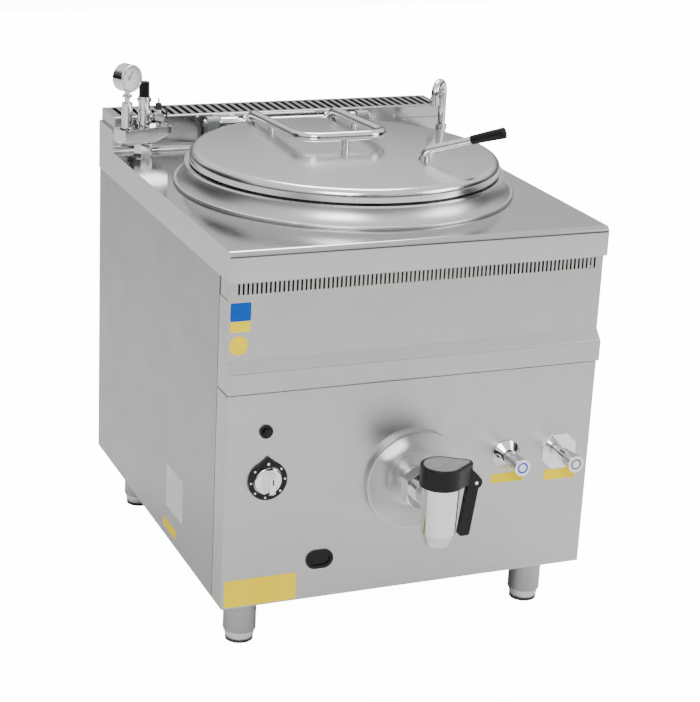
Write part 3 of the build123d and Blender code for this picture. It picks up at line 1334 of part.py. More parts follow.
def tap_cap():
    """Moulded cap of the plug, drawn out to two cheeks that hold the lever's pin."""
    z0 = TAP_TOP_Z + FIT_GAP
    body = Pos(0, TAP_Y, z0) * extrude(teardrop(CAP_R, CAP_LOBE_R, CAP_LOBE_X), CAP_H)
    body = fillet(body.edges().group_by(Axis.Z)[-1], CAP_EDGE_R)
    y0 = TAP_Y - CAP_LUG_D / 2
    y1 = TAP_Y + CAP_LUG_D / 2
    arm_side = outline(
        (0, CAP_TOP_Z - CAP_EDGE_R),
        (CAP_LOBE_X, CAP_TOP_Z - CAP_EDGE_R),
        (CAP_LUG_X + CAP_LUG_R / 2, CAP_LUG_Z + CAP_LUG_R),
        (CAP_LUG_X, CAP_LUG_Z - CAP_LUG_R),
        (CAP_R, z0),
        (0, z0),
    )
    cheeks = extruded_y(arm_side, y0, y1) + bar_y(CAP_LUG_X, CAP_LUG_Z, CAP_LUG_R, y0, y1)
    slot = block(
        CAP_LUG_X - LEVER_EYE_R - LEVER_W / 2,
        CAP_LUG_X + 2 * CAP_LUG_R,
        TAP_Y - CAP_SLOT_D / 2,
        TAP_Y + CAP_SLOT_D / 2,
        TAP_OUTLET_Z,
        CAP_LUG_Z + LEVER_EYE_R + 1,
    )
    body += cheeks
    body -= slot
    body -= bar_y(CAP_LUG_X, CAP_LUG_Z, LEVER_PIN_R + BEARING_CLEARANCE, y0 - 1, y1 + 1)
    well = extrude(plate_outline(0), CAP_PLATE_T + 1)
    body -= Pos(0, TAP_Y, CAP_TOP_Z - CAP_PLATE_T) * well
    return body - post(0, TAP_Y, CAP_STEM_R, z0 - 1, TAP_TOP_Z + CAP_STEM_H)


def plate_outline(gap):
    """Outline of the inlay in the top of the cap."""
    margin = CAP_PLATE_MARGIN + gap
    return teardrop(CAP_R - margin, CAP_LOBE_R - margin, CAP_LOBE_X)


def tap_cap_plate():
    return Pos(0, TAP_Y, CAP_TOP_Z - CAP_PLATE_T) * extrude(plate_outline(FIT_GAP), CAP_PLATE_T)


def tap_lever():
    """Lever that hangs beside the spout, with its pin."""
    half_t = LEVER_T / 2
    half_w = LEVER_W / 2
    side = outline(
        (CAP_LUG_X - LEVER_EYE_R, CAP_LUG_Z),
        (CAP_LUG_X + LEVER_EYE_R, CAP_LUG_Z),
        (LEVER_TIP_X + half_w, LEVER_TIP_Z),
        (LEVER_TIP_X - half_w, LEVER_TIP_Z),
    )
    body = extruded_y(side, TAP_Y - half_t, TAP_Y + half_t)
    low_edges = body.edges().filter_by(Axis.Y).sort_by(Axis.Z)[:2]
    body = fillet(low_edges, LEVER_TIP_FILLET)
    body += bar_y(CAP_LUG_X, CAP_LUG_Z, LEVER_EYE_R, TAP_Y - half_t, TAP_Y + half_t)
    body -= bar_y(CAP_LUG_X, CAP_LUG_Z, LEVER_PIN_R, TAP_Y - half_t, TAP_Y + half_t)
    pin_half = CAP_LUG_D / 2 + LEVER_PIN_OUT
    pin = bar_y(CAP_LUG_X, CAP_LUG_Z, LEVER_PIN_R, TAP_Y - pin_half, TAP_Y + pin_half)
    return Compound([body.solids()[0], pin.solids()[0]])


# ---------------------------------------------------------------- front controls
def knob_bezel():
    """Round bezel with a pointed top, behind the gas knob."""
    side_angle = radians(BEZEL_SHOULDER)
    shoulder_x = BEZEL_R * cos(side_angle)
    shoulder_z = BEZEL_R * sin(side_angle)
    point = outline((-shoulder_x, shoulder_z), (0, BEZEL_TIP), (shoulder_x, shoulder_z), (0, 0))
    face = Circle(BEZEL_R) + point - Circle(BEZEL_BORE_R)
    return Pos(KNOB_X, 0, KNOB_Z) * extruded_y(face, -BEZEL_T, 0)


def gas_knob():
    """Knob with a grip bar, and its spindle into the gas valve."""
    disc = bar_y(KNOB_X, KNOB_Z, KNOB_R, -KNOB_DISC_T, -FIT_GAP)
    disc = fillet(disc.edges().filter_by(GeomType.CIRCLE).sort_by(Axis.Y)[0], KNOB_DISC_T / 3)
    half_l = KNOB_BAR_L / 2
    nose_l = half_l - KNOB_OUT / 3
    side = outline(
        (-KNOB_DISC_T / 2, KNOB_Z - half_l),
        (-KNOB_OUT / 2, KNOB_Z - half_l),
        (-KNOB_OUT, KNOB_Z - nose_l),
        (-KNOB_OUT, KNOB_Z + nose_l),
        (-KNOB_OUT / 2, KNOB_Z + half_l),
        (-KNOB_DISC_T / 2, KNOB_Z + half_l),
    )
    grip = extruded_x(side, KNOB_X - KNOB_BAR_W / 2, KNOB_X + KNOB_BAR_W / 2)
    grip = fillet(grip.edges().filter_by(Axis.Z).sort_by(Axis.Y)[:2], KNOB_BAR_W / 5)
    spindle = bar_y(KNOB_X, KNOB_Z, SPINDLE_R, -KNOB_DISC_T, GAS_VALVE_Y0 + GAS_VALVE_D / 2)
    return disc + grip + spindle


def gas_valve():
    y0 = GAS_VALVE_Y0
    body = block(
        KNOB_X - GAS_VALVE_W / 2,
        KNOB_X + GAS_VALVE_W / 2,
        y0,
        y0 + GAS_VALVE_D,
        KNOB_Z - GAS_VALVE_H / 2,
        KNOB_Z + GAS_VALVE_H / 2,
    )
    body = chamfer(body.edges().filter_by(Axis.Y), GAS_VALVE_CHAMFER)
    body += bar_y(KNOB_X, KNOB_Z, GAS_VALVE_NECK_R, PANEL_SHEET, y0)
    return body - bar_y(KNOB_X, KNOB_Z, SPINDLE_R + BEARING_CLEARANCE, 0, y0 + GAS_VALVE_D / 2 + FIT_GAP)


def gas_pipes():
    """Supply pipe to the valve, and the pipe from the valve to the burner."""
    pipe_y = GAS_VALVE_Y0 + GAS_VALVE_D / 2
    supply_z = HOT_RUN_Z
    supply = piped(
        [
            (GAS_INLET_X, INLET_Y, INLET_Z),
            (GAS_INLET_X, INLET_Y, supply_z),
            (KNOB_X, INLET_Y, supply_z),
            (KNOB_X, pipe_y, supply_z),
            (KNOB_X, pipe_y, KNOB_Z - GAS_VALVE_H / 2),
        ],
        GAS_PIPE_R,
        WATER_BEND_R,
    )
    supply += post(GAS_INLET_X, INLET_Y, GAS_INLET_R, INLET_Z, INLET_Z + INLET_NIPPLE_L)
    feed = piped(
        [
            (KNOB_X + GAS_VALVE_W / 2, pipe_y, KNOB_Z),
            (GAS_FEED_X, pipe_y, KNOB_Z),
            (GAS_FEED_X, pipe_y, BURNER_Z),
            (0, pipe_y, BURNER_Z),
            (0, MIXER_FRONT_Y + MIXER_R, BURNER_Z),
        ],
        GAS_PIPE_R,
        WATER_BEND_R,
    )
    return Compound([supply.solids()[0], feed.solids()[0]])


def igniter_body():
    """Push igniter: collar in front of the panel, nut and cartridge behind it."""
    front = -IGNITER_COLLAR_OUT
    body = bar_y(IGNITER_X, IGNITER_Z, IGNITER_R, front, PANEL_SHEET + IGNITER_BODY_L)
    body += bar_y(IGNITER_X, IGNITER_Z, IGNITER_COLLAR_R, front, 0)
    body += bar_y(IGNITER_X, IGNITER_Z, IGNITER_COLLAR_R, PANEL_SHEET, PANEL_SHEET + IGNITER_NUT_T)
    return body - bar_y(IGNITER_X, IGNITER_Z, BUTTON_R + BUTTON_CLEARANCE, front - 1, IGNITER_BORE_L)


def igniter_button():
    tail = IGNITER_BORE_L - BUTTON_TRAVEL - FIT_GAP
    button = bar_y(IGNITER_X, IGNITER_Z, BUTTON_R, -BUTTON_OUT, tail)
    return fillet(button.edges().filter_by(GeomType.CIRCLE).sort_by(Axis.Y)[0], BUTTON_R / 4)


def sight_plug(length, height, y0, y1):
    return Pos(SIGHT_X, 0, SIGHT_Z) * extruded_y(SlotOverall(length, height), y0, y1)


def sight_port():
    """Oval sleeve with a dark pane, through which the flame is seen."""
    inner_l = SIGHT_L - 2 * SIGHT_WALL
    inner_h = SIGHT_H - 2 * SIGHT_WALL
    body = sight_plug(SIGHT_L, SIGHT_H, -SIGHT_OUT, SIGHT_D)
    body += sight_plug(SIGHT_L + 2 * SIGHT_LIP, SIGHT_H + 2 * SIGHT_LIP, -SIGHT_OUT, 0)
    body -= sight_plug(inner_l, inner_h, -SIGHT_OUT - 1, 0)
    return body - sight_plug(inner_l, inner_h, SIGHT_PANE_T, SIGHT_D + 1)


# ---------------------------------------------------------------- water valves
def valve_rosettes():
    """Cone-shaped cold rosette and flat eight-sided hot rosette."""
    bore = VALVE_NECK_R + BEARING_CLEARANCE
    cone = outline(
        (bore, -VALVE_ROSETTE_OUT),
        (VALVE_ROSETTE_TOP_R, -VALVE_ROSETTE_OUT),
        (VALVE_ROSETTE_R, -VALVE_ROSETTE_EDGE),
        (VALVE_ROSETTE_R, 0),
        (bore, 0),
    )
    cold = turned_y(cone, COLD_X, COLD_Z)
    eight_sided = RegularPolygon(HOT_ROSETTE_AF / 2, 8, major_radius=False)
    plate = Rot(0, 0, 180 / 8) * eight_sided - Circle(bore)
    hot = Pos(HOT_X, 0, HOT_Z) * extruded_y(plate, -HOT_ROSETTE_T, 0)
    return Compound([cold.solids()[0], hot.solids()[0]])


def water_valve_bodies():
    bodies = []
    for x, z in ((COLD_X, COLD_Z), (HOT_X, HOT_Z)):
        neck = bar_y(x, z, VALVE_NECK_R, -VALVE_NECK_OUT, PANEL_SHEET)
        rear = bar_y(x, z, VALVE_BODY_R, PANEL_SHEET, PANEL_SHEET + VALVE_BODY_L)
        bodies.append((neck + rear).solids()[0])
    return Compound(bodies)


def valve_handle(x, z):
    """Fluted handle over the valve neck, with a round end cap."""
    back = -HANDLE_BACK_OUT
    front = -HANDLE_OUT
    profile = outline(
        (0, back),
        (HANDLE_BACK_R, back),
        (HANDLE_FRONT_R, front + HANDLE_CAP_T),
        (HANDLE_FRONT_R, front),
        (0, front),
    )
    body = turned_y(profile, x, z)
    for place in PolarLocations(HANDLE_FRONT_R + HANDLE_FLUTE_R / 2, HANDLE_FLUTES):
        flute_x = x + place.position.X
        flute_z = z + place.position.Y
        body -= bar_y(flute_x, flute_z, HANDLE_FLUTE_R, front + 2 * HANDLE_CAP_T, back - HANDLE_CAP_T)
    bore_r = VALVE_NECK_R + BEARING_CLEARANCE
    return body - bar_y(x, z, bore_r, -VALVE_NECK_OUT - FIT_GAP, back + 1)


def water_pipes():
    """Two supplies from below, the link between the valves and the run to the spout."""
    y = WATER_PIPE_Y
    cold_in = piped(
        [
            (COLD_INLET_X, INLET_Y, INLET_Z),
            (COLD_INLET_X, INLET_Y, COLD_RUN_Z),
            (COLD_RUN_X, INLET_Y, COLD_RUN_Z),
            (COLD_RUN_X, y, COLD_RUN_Z),
            (COLD_X, y, COLD_RUN_Z),
            (COLD_X, y, COLD_Z - VALVE_BODY_R / 2),
        ],
        WATER_PIPE_R,
        WATER_BEND_R,
    )
    cold_in += post(COLD_INLET_X, INLET_Y, NIPPLE_R, INLET_Z, INLET_Z + INLET_NIPPLE_L)
    hot_in = piped(
        [
            (HOT_INLET_X, INLET_Y, INLET_Z),
            (HOT_INLET_X, INLET_Y, HOT_RUN_Z),
            (HOT_X, INLET_Y, HOT_RUN_Z),
            (HOT_X, y, HOT_RUN_Z),
            (HOT_X, y, HOT_Z - VALVE_BODY_R / 2),
        ],
        WATER_PIPE_R,
        WATER_BEND_R,
    )
    hot_in += post(HOT_INLET_X, INLET_Y, NIPPLE_R, INLET_Z, INLET_Z + INLET_NIPPLE_L)
    mixed = piped(
        [
            (HOT_X, y, HOT_Z + VALVE_BODY_R / 2),
            (HOT_X, y, MIX_RUN_Z),
            (SPOUT_X, SPOUT_Y, MIX_RUN_Z),
            (SPOUT_X, SPOUT_Y, WORKTOP_Z),
        ],
        WATER_PIPE_R,
        WATER_BEND_R,
    )
    link = piped(
        [(COLD_X, y, COLD_Z + VALVE_BODY_R / 2), (COLD_X, y, LINK_Z), (HOT_X, y, LINK_Z)],
        WATER_PIPE_R,
        WATER_BEND_R,
    )
    link -= mixed
    bodies = water_valve_bodies()
    runs = []
    for run in (cold_in, hot_in, mixed, link):
        runs.append((run - bodies).solids().sort_by(SortBy.VOLUME)[-1])
    return Compound(runs)


# ---------------------------------------------------------------- write the nodes
def nodes():
    right_side = side_panel()
    parts = {
        "worktop": worktop(),
        "flue_cap": flue_cap(),
        "flue_duct": flue_duct(),
        "right_side_panel": right_side,
        "left_side_panel": mirrored(right_side),
        "back_panel": back_panel(),
        "vent_strip": vent_strip(),
        "upper_front_panel": upper_front_panel(),
        "lower_front_panel": lower_front_panel(),
        "base_frame": base_frame(),
        "pan_vessel": pan_vessel(),
        "steam_jacket": steam_jacket(),
        "jacket_insulation": jacket_insulation(),
        "pan_collar": pan_collar(),
        "burner": burner(),
        "gas_valve": gas_valve(),
        "gas_pipes": gas_pipes(),
        "knob_bezel": knob_bezel(),
        "igniter_body": igniter_body(),
        "sight_port": sight_port(),
        "drain_pipe": drain_pipe(),
        "tap_rosette": tap_rosette(),
        "tap_union": tap_union(),
        "tap_body": tap_body(),
        "valve_rosettes": valve_rosettes(),
        "water_valve_bodies": water_valve_bodies(),
        "water_pipes": water_pipes(),
        "spout_base": spout_base(),
        "hinge_blocks": hinge_blocks(),
        "safety_column": safety_column(),
        "safety_dish": safety_dish(),
        "gauge_pillar": gauge_pillar(),
        "gauge_case": gauge_case(),
        "gauge_dial": gauge_dial(),
        "gauge_glass": gauge_glass(),
        "safety_valve_body": safety_valve_body(),
        "air_valve_body": air_valve_body(),
        "lid_cover": lid_cover(),
        "lid_liner": lid_liner(),
        "lid_arm": lid_arm(),
        "lid_arm_fixings": lid_arm_fixings(),
        "hinge_shaft": hinge_shaft(),
        "lid_handle": lid_handle(),
        "lid_grip": lid_grip(),
        "water_spout": water_spout(),
        "gas_knob": gas_knob(),
        "igniter_button": igniter_button(),
        "tap_plug": tap_plug(),
        "tap_cap": tap_cap(),
        "tap_cap_plate": tap_cap_plate(),
        "tap_lever": tap_lever(),
        "cold_valve_handle": valve_handle(COLD_X, COLD_Z),
        "hot_valve_handle": valve_handle(HOT_X, HOT_Z),
        "gauge_needle": gauge_needle(),
        "safety_valve_cap": safety_valve_cap(),
        "air_valve_knob": air_valve_knob(),
    }
    for name, (x, y) in leg_places().items():
        parts[f"foot_{name}"] = foot(x, y)
    return parts


os.makedirs("parts", exist_ok=True)
for node_name, shape in nodes().items():
    export_step(Pos(0, -ORIGIN_Y, 0) * shape, f"parts/{node_name}.step")
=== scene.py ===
import json
from math import atan2, cos, pi, radians, sin

import bmesh
import bpy
from mathutils import Matrix, Vector


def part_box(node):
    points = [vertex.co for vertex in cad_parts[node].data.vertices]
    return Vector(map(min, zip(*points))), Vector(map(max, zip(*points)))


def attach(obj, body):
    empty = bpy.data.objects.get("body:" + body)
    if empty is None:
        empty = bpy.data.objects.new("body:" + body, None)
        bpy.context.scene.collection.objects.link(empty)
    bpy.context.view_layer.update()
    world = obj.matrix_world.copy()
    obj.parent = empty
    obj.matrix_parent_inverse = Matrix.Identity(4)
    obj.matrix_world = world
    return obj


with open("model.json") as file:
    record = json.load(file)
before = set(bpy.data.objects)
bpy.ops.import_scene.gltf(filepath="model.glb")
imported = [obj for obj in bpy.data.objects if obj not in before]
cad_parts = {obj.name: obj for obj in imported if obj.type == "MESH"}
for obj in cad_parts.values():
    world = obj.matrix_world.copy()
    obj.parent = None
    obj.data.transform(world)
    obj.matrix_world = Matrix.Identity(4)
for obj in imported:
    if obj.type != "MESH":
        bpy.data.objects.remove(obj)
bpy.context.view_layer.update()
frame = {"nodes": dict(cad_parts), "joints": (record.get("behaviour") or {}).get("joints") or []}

JOINTS = {joint["name"]: joint for joint in frame["joints"]}

# ---------------------------------------------------------------- view and light
CAMERA_PLACE = (-1.557, -3.6132, 1.8755)
CAMERA_YAW = 0.4084
CAMERA_PITCH = 0.3368
CAMERA_ROLL = 0.0509
CAMERA_LENS = 99.84
CAMERA_SENSOR = 36.0
CAMERA_REACH = 40.0
FLOOR_SIZE = 14.0
FLOOR_COLOUR = (0.86, 0.86, 0.86)
FLOOR_ROUGHNESS = 0.7
BACKDROP_GLOW = 16.0
FLOOR_GLOW = 14.0
WORLD_STRENGTH = 0.8
# Each stop: how high it looks, from 0 straight down to 1 straight up, and the colour there.
SKY_STOPS = (
    (0.0, (0.55, 0.55, 0.56)),
    (0.46, (0.20, 0.20, 0.21)),
    (0.56, (0.22, 0.22, 0.23)),
    (0.61, (0.90, 0.90, 0.91)),
    (0.68, (1.30, 1.30, 1.30)),
    (1.0, (1.55, 1.55, 1.54)),
)
RAMP_MIDDLE = 0.5
# Each dark card: the way to its middle, and the cosines where its shade starts and is full.
DARK_FLAGS = (
    ((-0.85, 0.5, 0.12), 0.84, 0.95),
    ((0.95, -0.2, 0.1), 0.9, 0.97),
    ((-0.1, -0.95, 0.35), 0.965, 0.99),
)
FLAG_LIGHT = 0.12
# Each lamp: its name, place, width and watts.
LAMPS = (
    ("key", (-1.4, -3.0, 3.2), 1.6, 85.0),
    ("fill", (3.0, -2.2, 2.2), 1.8, 55.0),
    ("top", (0.5, 1.3, 3.4), 1.4, 60.0),
)
LAMP_AIM = (0.0, 0.0, 0.5)


def add_camera():
    data = bpy.data.cameras.new("view")
    data.lens = CAMERA_LENS
    data.sensor_width = CAMERA_SENSOR
    data.clip_end = CAMERA_REACH
    camera = bpy.data.objects.new("view", data)
    bpy.context.collection.objects.link(camera)
    turn = Matrix.Rotation(-CAMERA_YAW, 4, "Z")
    tilt = Matrix.Rotation(pi / 2 - CAMERA_PITCH, 4, "X")
    roll = Matrix.Rotation(CAMERA_ROLL, 4, "Z")
    camera.matrix_world = Matrix.Translation(CAMERA_PLACE) @ turn @ tilt @ roll
    bpy.context.scene.camera = camera


def add_lamp(name, place, size, watts):
    data = bpy.data.lights.new(name, "AREA")
    data.size = size
    data.energy = watts
    lamp = bpy.data.objects.new(name, data)
    bpy.context.collection.objects.link(lamp)
    lamp.location = place
    lamp.rotation_euler = (Vector(LAMP_AIM) - Vector(place)).to_track_quat("-Z", "Y").to_euler()


def combined(tree, operation, first, second):
    """The sum or product of two values."""
    node = tree.nodes.new("ShaderNodeMath")
    node.operation = operation
    tree.links.new(first, node.inputs[0])
    tree.links.new(second, node.inputs[1])
    return node.outputs["Value"]


def flag_shade(tree, coord, way, start, stop):
    """What a dark card lets through: all of the light away from it, nearly none in its middle."""
    toward = tree.nodes.new("ShaderNodeVectorMath")
    toward.operation = "DOT_PRODUCT"
    toward.inputs[1].default_value = Vector(way).normalized()
    fall = tree.nodes.new("ShaderNodeMapRange")
    fall.inputs["From Min"].default_value = start
    fall.inputs["From Max"].default_value = stop
    fall.inputs["To Min"].default_value = 1.0
    fall.inputs["To Max"].default_value = FLAG_LIGHT
    tree.links.new(coord.outputs["Generated"], toward.inputs[0])
    tree.links.new(toward.outputs["Value"], fall.inputs["Value"])
    return fall.outputs["Result"]


def sky_colour(tree, coord):
    """Sky that goes from a dim floor through a dark horizon to a bright ceiling."""
    split = tree.nodes.new("ShaderNodeSeparateXYZ")
    height = tree.nodes.new("ShaderNodeMapRange")
    height.inputs["From Min"].default_value = -1.0
    ramp = tree.nodes.new("ShaderNodeValToRGB")
    while len(ramp.color_ramp.elements) < len(SKY_STOPS):
        ramp.color_ramp.elements.new(RAMP_MIDDLE)
    for stop, (position, colour) in zip(ramp.color_ramp.elements, SKY_STOPS):
        stop.position = position
        stop.color = (*colour, 1.0)
    tree.links.new(coord.outputs["Generated"], split.inputs[0])
    tree.links.new(split.outputs["Z"], height.inputs["Value"])
    tree.links.new(height.outputs["Result"], ramp.inputs["Fac"])
    return ramp.outputs["Color"]


def sky_strength(tree, coord):
    """The sky's strength, dimmed by every dark card."""
    level = tree.nodes.new("ShaderNodeValue")
    level.outputs["Value"].default_value = WORLD_STRENGTH
    strength = level.outputs["Value"]
    for way, start, stop in DARK_FLAGS:
        strength = combined(tree, "MULTIPLY", flag_shade(tree, coord, way, start, stop), strength)
    return strength


def add_world():
    """Studio sky that the part reflects, behind a bright backdrop that only the camera sees."""
    world = bpy.data.worlds.new("studio")
    world.use_nodes = True
    tree = world.node_tree
    shade = tree.nodes["Background"]
    coord = tree.nodes.new("ShaderNodeTexCoord")
    tree.links.new(sky_colour(tree, coord), shade.inputs["Color"])
    tree.links.new(sky_strength(tree, coord), shade.inputs["Strength"])
    backdrop = tree.nodes.new("ShaderNodeBackground")
    backdrop.inputs["Strength"].default_value = BACKDROP_GLOW
    path = tree.nodes.new("ShaderNodeLightPath")
    swap = tree.nodes.new("ShaderNodeMixShader")
    tree.links.new(path.outputs["Is Camera Ray"], swap.inputs["Fac"])
    tree.links.new(shade.outputs["Background"], swap.inputs[1])
    tree.links.new(backdrop.outputs["Background"], swap.inputs[2])
    tree.links.new(swap.outputs["Shader"], tree.nodes["World Output"].inputs["Surface"])
    bpy.context.scene.world = world


def add_floor():
    """Pale floor that glows for the camera alone, so that it meets the backdrop without an edge."""
    bpy.ops.object.select_all(action="DESELECT")
    bpy.ops.mesh.primitive_plane_add(size=FLOOR_SIZE, location=(0.0, 0.0, 0.0))
    floor = bpy.context.object
    floor.name = "floor"
    paint = bpy.data.materials.new("floor_paint")
    paint.use_nodes = True
    tree = paint.node_tree
    shader = tree.nodes["Principled BSDF"]
    shader.inputs["Base Color"].default_value = (*FLOOR_COLOUR, 1.0)
    shader.inputs["Roughness"].default_value = FLOOR_ROUGHNESS
    shader.inputs["Emission Color"].default_value = (1.0, 1.0, 1.0, 1.0)
    path = tree.nodes.new("ShaderNodeLightPath")
    glow = tree.nodes.new("ShaderNodeMath")
    glow.operation = "MULTIPLY"
    glow.inputs[1].default_value = FLOOR_GLOW
    tree.links.new(path.outputs["Is Camera Ray"], glow.inputs[0])
    tree.links.new(glow.outputs["Value"], shader.inputs["Emission Strength"])
    floor.data.materials.append(paint)


# ---------------------------------------------------------------- material groups
def socket(group, name, direction, kind, value=None):
    made = group.interface.new_socket(name=name, in_out=direction, socket_type=kind)
    if value is not None:
        made.default_value = value
    return made


def grain_group():
    """Fine parallel brushing: a stretched noise and a broader drift."""
    group = bpy.data.node_groups.new("brushed grain", "ShaderNodeTree")
    socket(group, "Vector", "INPUT", "NodeSocketVector")
    socket(group, "Across", "INPUT", "NodeSocketVector", (4.0, 4.0, 900.0))
    socket(group, "Grain", "OUTPUT", "NodeSocketFloat")
    socket(group, "Drift", "OUTPUT", "NodeSocketFloat")
    nodes, links = group.nodes, group.links
    source = nodes.new("NodeGroupInput")
    out = nodes.new("NodeGroupOutput")
    scale = nodes.new("ShaderNodeVectorMath")
    scale.operation = "MULTIPLY"
    links.new(source.outputs["Vector"], scale.inputs[0])
    links.new(source.outputs["Across"], scale.inputs[1])
    fine = nodes.new("ShaderNodeTexNoise")
    fine.inputs["Scale"].default_value = 1.0
    fine.inputs["Detail"].default_value = 4.0
    links.new(scale.outputs[0], fine.inputs["Vector"])
    links.new(fine.outputs["Fac"], out.inputs["Grain"])
    broad = nodes.new("ShaderNodeTexNoise")
    broad.inputs["Scale"].default_value = 3.0
    broad.inputs["Detail"].default_value = 3.0
    links.new(source.outputs["Vector"], broad.inputs["Vector"])
    links.new(broad.outputs["Fac"], out.inputs["Drift"])
    return group


def handling_group():
    """Wipe marks and tiny scratches, as a roughness mask."""
    group = bpy.data.node_groups.new("handling marks", "ShaderNodeTree")
    socket(group, "Vector", "INPUT", "NodeSocketVector")
    socket(group, "Smear Scale", "INPUT", "NodeSocketFloat", SMEAR_SCALE)
    socket(group, "Scratch Scale", "INPUT", "NodeSocketFloat", 60.0)
    socket(group, "Marks", "OUTPUT", "NodeSocketFloat")
    socket(group, "Scratches", "OUTPUT", "NodeSocketFloat")
    nodes, links = group.nodes, group.links
    source = nodes.new("NodeGroupInput")
    out = nodes.new("NodeGroupOutput")
    smear = nodes.new("ShaderNodeTexNoise")
    smear.inputs["Detail"].default_value = 5.0
    smear.inputs["Distortion"].default_value = 1.2
    links.new(source.outputs["Vector"], smear.inputs["Vector"])
    links.new(source.outputs["Smear Scale"], smear.inputs["Scale"])
    spread = nodes.new("ShaderNodeMapRange")
    spread.inputs["From Min"].default_value = 0.35
    spread.inputs["From Max"].default_value = 0.7
    links.new(smear.outputs["Fac"], spread.inputs["Value"])
    links.new(spread.outputs["Result"], out.inputs["Marks"])
    cells = nodes.new("ShaderNodeTexVoronoi")
    cells.feature = "DISTANCE_TO_EDGE"
    links.new(source.outputs["Vector"], cells.inputs["Vector"])
    links.new(source.outputs["Scratch Scale"], cells.inputs["Scale"])
    line = nodes.new("ShaderNodeMapRange")
    line.inputs["From Min"].default_value = 0.0
    line.inputs["From Max"].default_value = 0.02
    line.inputs["To Min"].default_value = 1.0
    line.inputs["To Max"].default_value = 0.0
    links.new(cells.outputs["Distance"], line.inputs["Value"])
    links.new(line.outputs["Result"], out.inputs["Scratches"])
    return group


GROUPS = {}
SMEAR_SCALE = 9.0
FOOT_BAND_AND_GAP_SHADE = (0.02, 0.02, 0.02)
BAND_EDGE = 0.0003
SKIN_BUMP = 0.0003
SCRATCH_BUMP = 0.0001
GRAIN_BUMP = 0.0004


def use_group(tree, name):
    node = tree.nodes.new("ShaderNodeGroup")
    node.node_tree = GROUPS[name]
    return node


def new_material(name, metallic, roughness, specular=0.5):
    made = bpy.data.materials.new(name)
    made.use_nodes = True
    shader = made.node_tree.nodes["Principled BSDF"]
    shader.inputs["Metallic"].default_value = metallic
    shader.inputs["Roughness"].default_value = roughness
    shader.inputs["Specular IOR Level"].default_value = specular
    coord = made.node_tree.nodes.new("ShaderNodeTexCoord")
    return made, made.node_tree, shader, coord


def mixed_colour(tree, fac, low, high):
    mix = tree.nodes.new("ShaderNodeMix")
    mix.data_type = "RGBA"
    mix.inputs["A"].default_value = (*low, 1.0)
    mix.inputs["B"].default_value = (*high, 1.0)
    tree.links.new(fac, mix.inputs["Factor"])
    return mix.outputs["Result"]


def ranged(tree, value, low, high):
    node = tree.nodes.new("ShaderNodeMapRange")
    node.inputs["To Min"].default_value = low
    node.inputs["To Max"].default_value = high
    tree.links.new(value, node.inputs["Value"])
    return node.outputs["Result"]


def tint(tree, shader, fac, low, high):
    tree.links.new(mixed_colour(tree, fac, low, high), shader.inputs["Base Color"])


def roughen(tree, shader, fac, low, high):
    tree.links.new(ranged(tree, fac, low, high), shader.inputs["Roughness"])


def marked(tree, coord, smear_scale=SMEAR_SCALE):
    """The handling marks, laid over a piece by its own coordinates."""
    marks = use_group(tree, "handling marks")
    marks.inputs["Smear Scale"].default_value = smear_scale
    tree.links.new(coord.outputs["Object"], marks.inputs["Vector"])
    return marks


def bumped(tree, shader, height, strength, distance):
    bump = tree.nodes.new("ShaderNodeBump")
    bump.inputs["Strength"].default_value = strength
    bump.inputs["Distance"].default_value = distance
    tree.links.new(height, bump.inputs["Height"])
    tree.links.new(bump.outputs["Normal"], shader.inputs["Normal"])


def sheet_metal(name, colour, roughness, across, grain=0.10, spread=0.06):
    """Brushed or satin stainless sheet, with its grain across one direction."""
    made, tree, shader, coord = new_material(name, 1.0, roughness)
    brush = use_group(tree, "brushed grain")
    brush.inputs["Across"].default_value = across
    tree.links.new(coord.outputs["Object"], brush.inputs["Vector"])
    marks = marked(tree, coord)
    dark = tuple(c * (1.0 - grain) for c in colour)
    light = tuple(min(1.0, c * (1.0 + grain)) for c in colour)
    tint(tree, shader, brush.outputs["Grain"], dark, light)
    fine = ranged(tree, brush.outputs["Grain"], roughness - spread, roughness + spread)
    wiped = ranged(tree, marks.outputs["Marks"], -spread / 2, spread / 2)
    tree.links.new(combined(tree, "ADD", fine, wiped), shader.inputs["Roughness"])
    bumped(tree, shader, brush.outputs["Grain"], 0.12, GRAIN_BUMP)
    return made


def chrome(name, colour, roughness):
    """Polished or plated metal, a little duller where it is handled."""
    made, tree, shader, coord = new_material(name, 1.0, roughness)
    marks = marked(tree, coord, 40.0)
    dull = tuple(c * 0.93 for c in colour)
    tint(tree, shader, marks.outputs["Marks"], colour, dull)
    roughen(tree, shader, marks.outputs["Marks"], roughness, roughness + 0.08)
    bumped(tree, shader, marks.outputs["Scratches"], 0.02, SCRATCH_BUMP)
    return made


def moulded(name, colour, roughness, texture_scale=900.0, bump=0.15, specular=0.5):
    """Moulded plastic, enamel, casting or wool, with a fine surface texture."""
    made, tree, shader, coord = new_material(name, 0.0, roughness, specular)
    marks = marked(tree, coord, 25.0)
    worn = tuple(min(1.0, c * 1.3 + 0.002) for c in colour)
    tint(tree, shader, marks.outputs["Marks"], colour, worn)
    roughen(tree, shader, marks.outputs["Marks"], roughness, roughness + 0.1)
    skin = tree.nodes.new("ShaderNodeTexNoise")
    skin.inputs["Scale"].default_value = texture_scale
    tree.links.new(coord.outputs["Object"], skin.inputs["Vector"])
    bumped(tree, shader, skin.outputs["Fac"], bump, SKIN_BUMP)
    return made


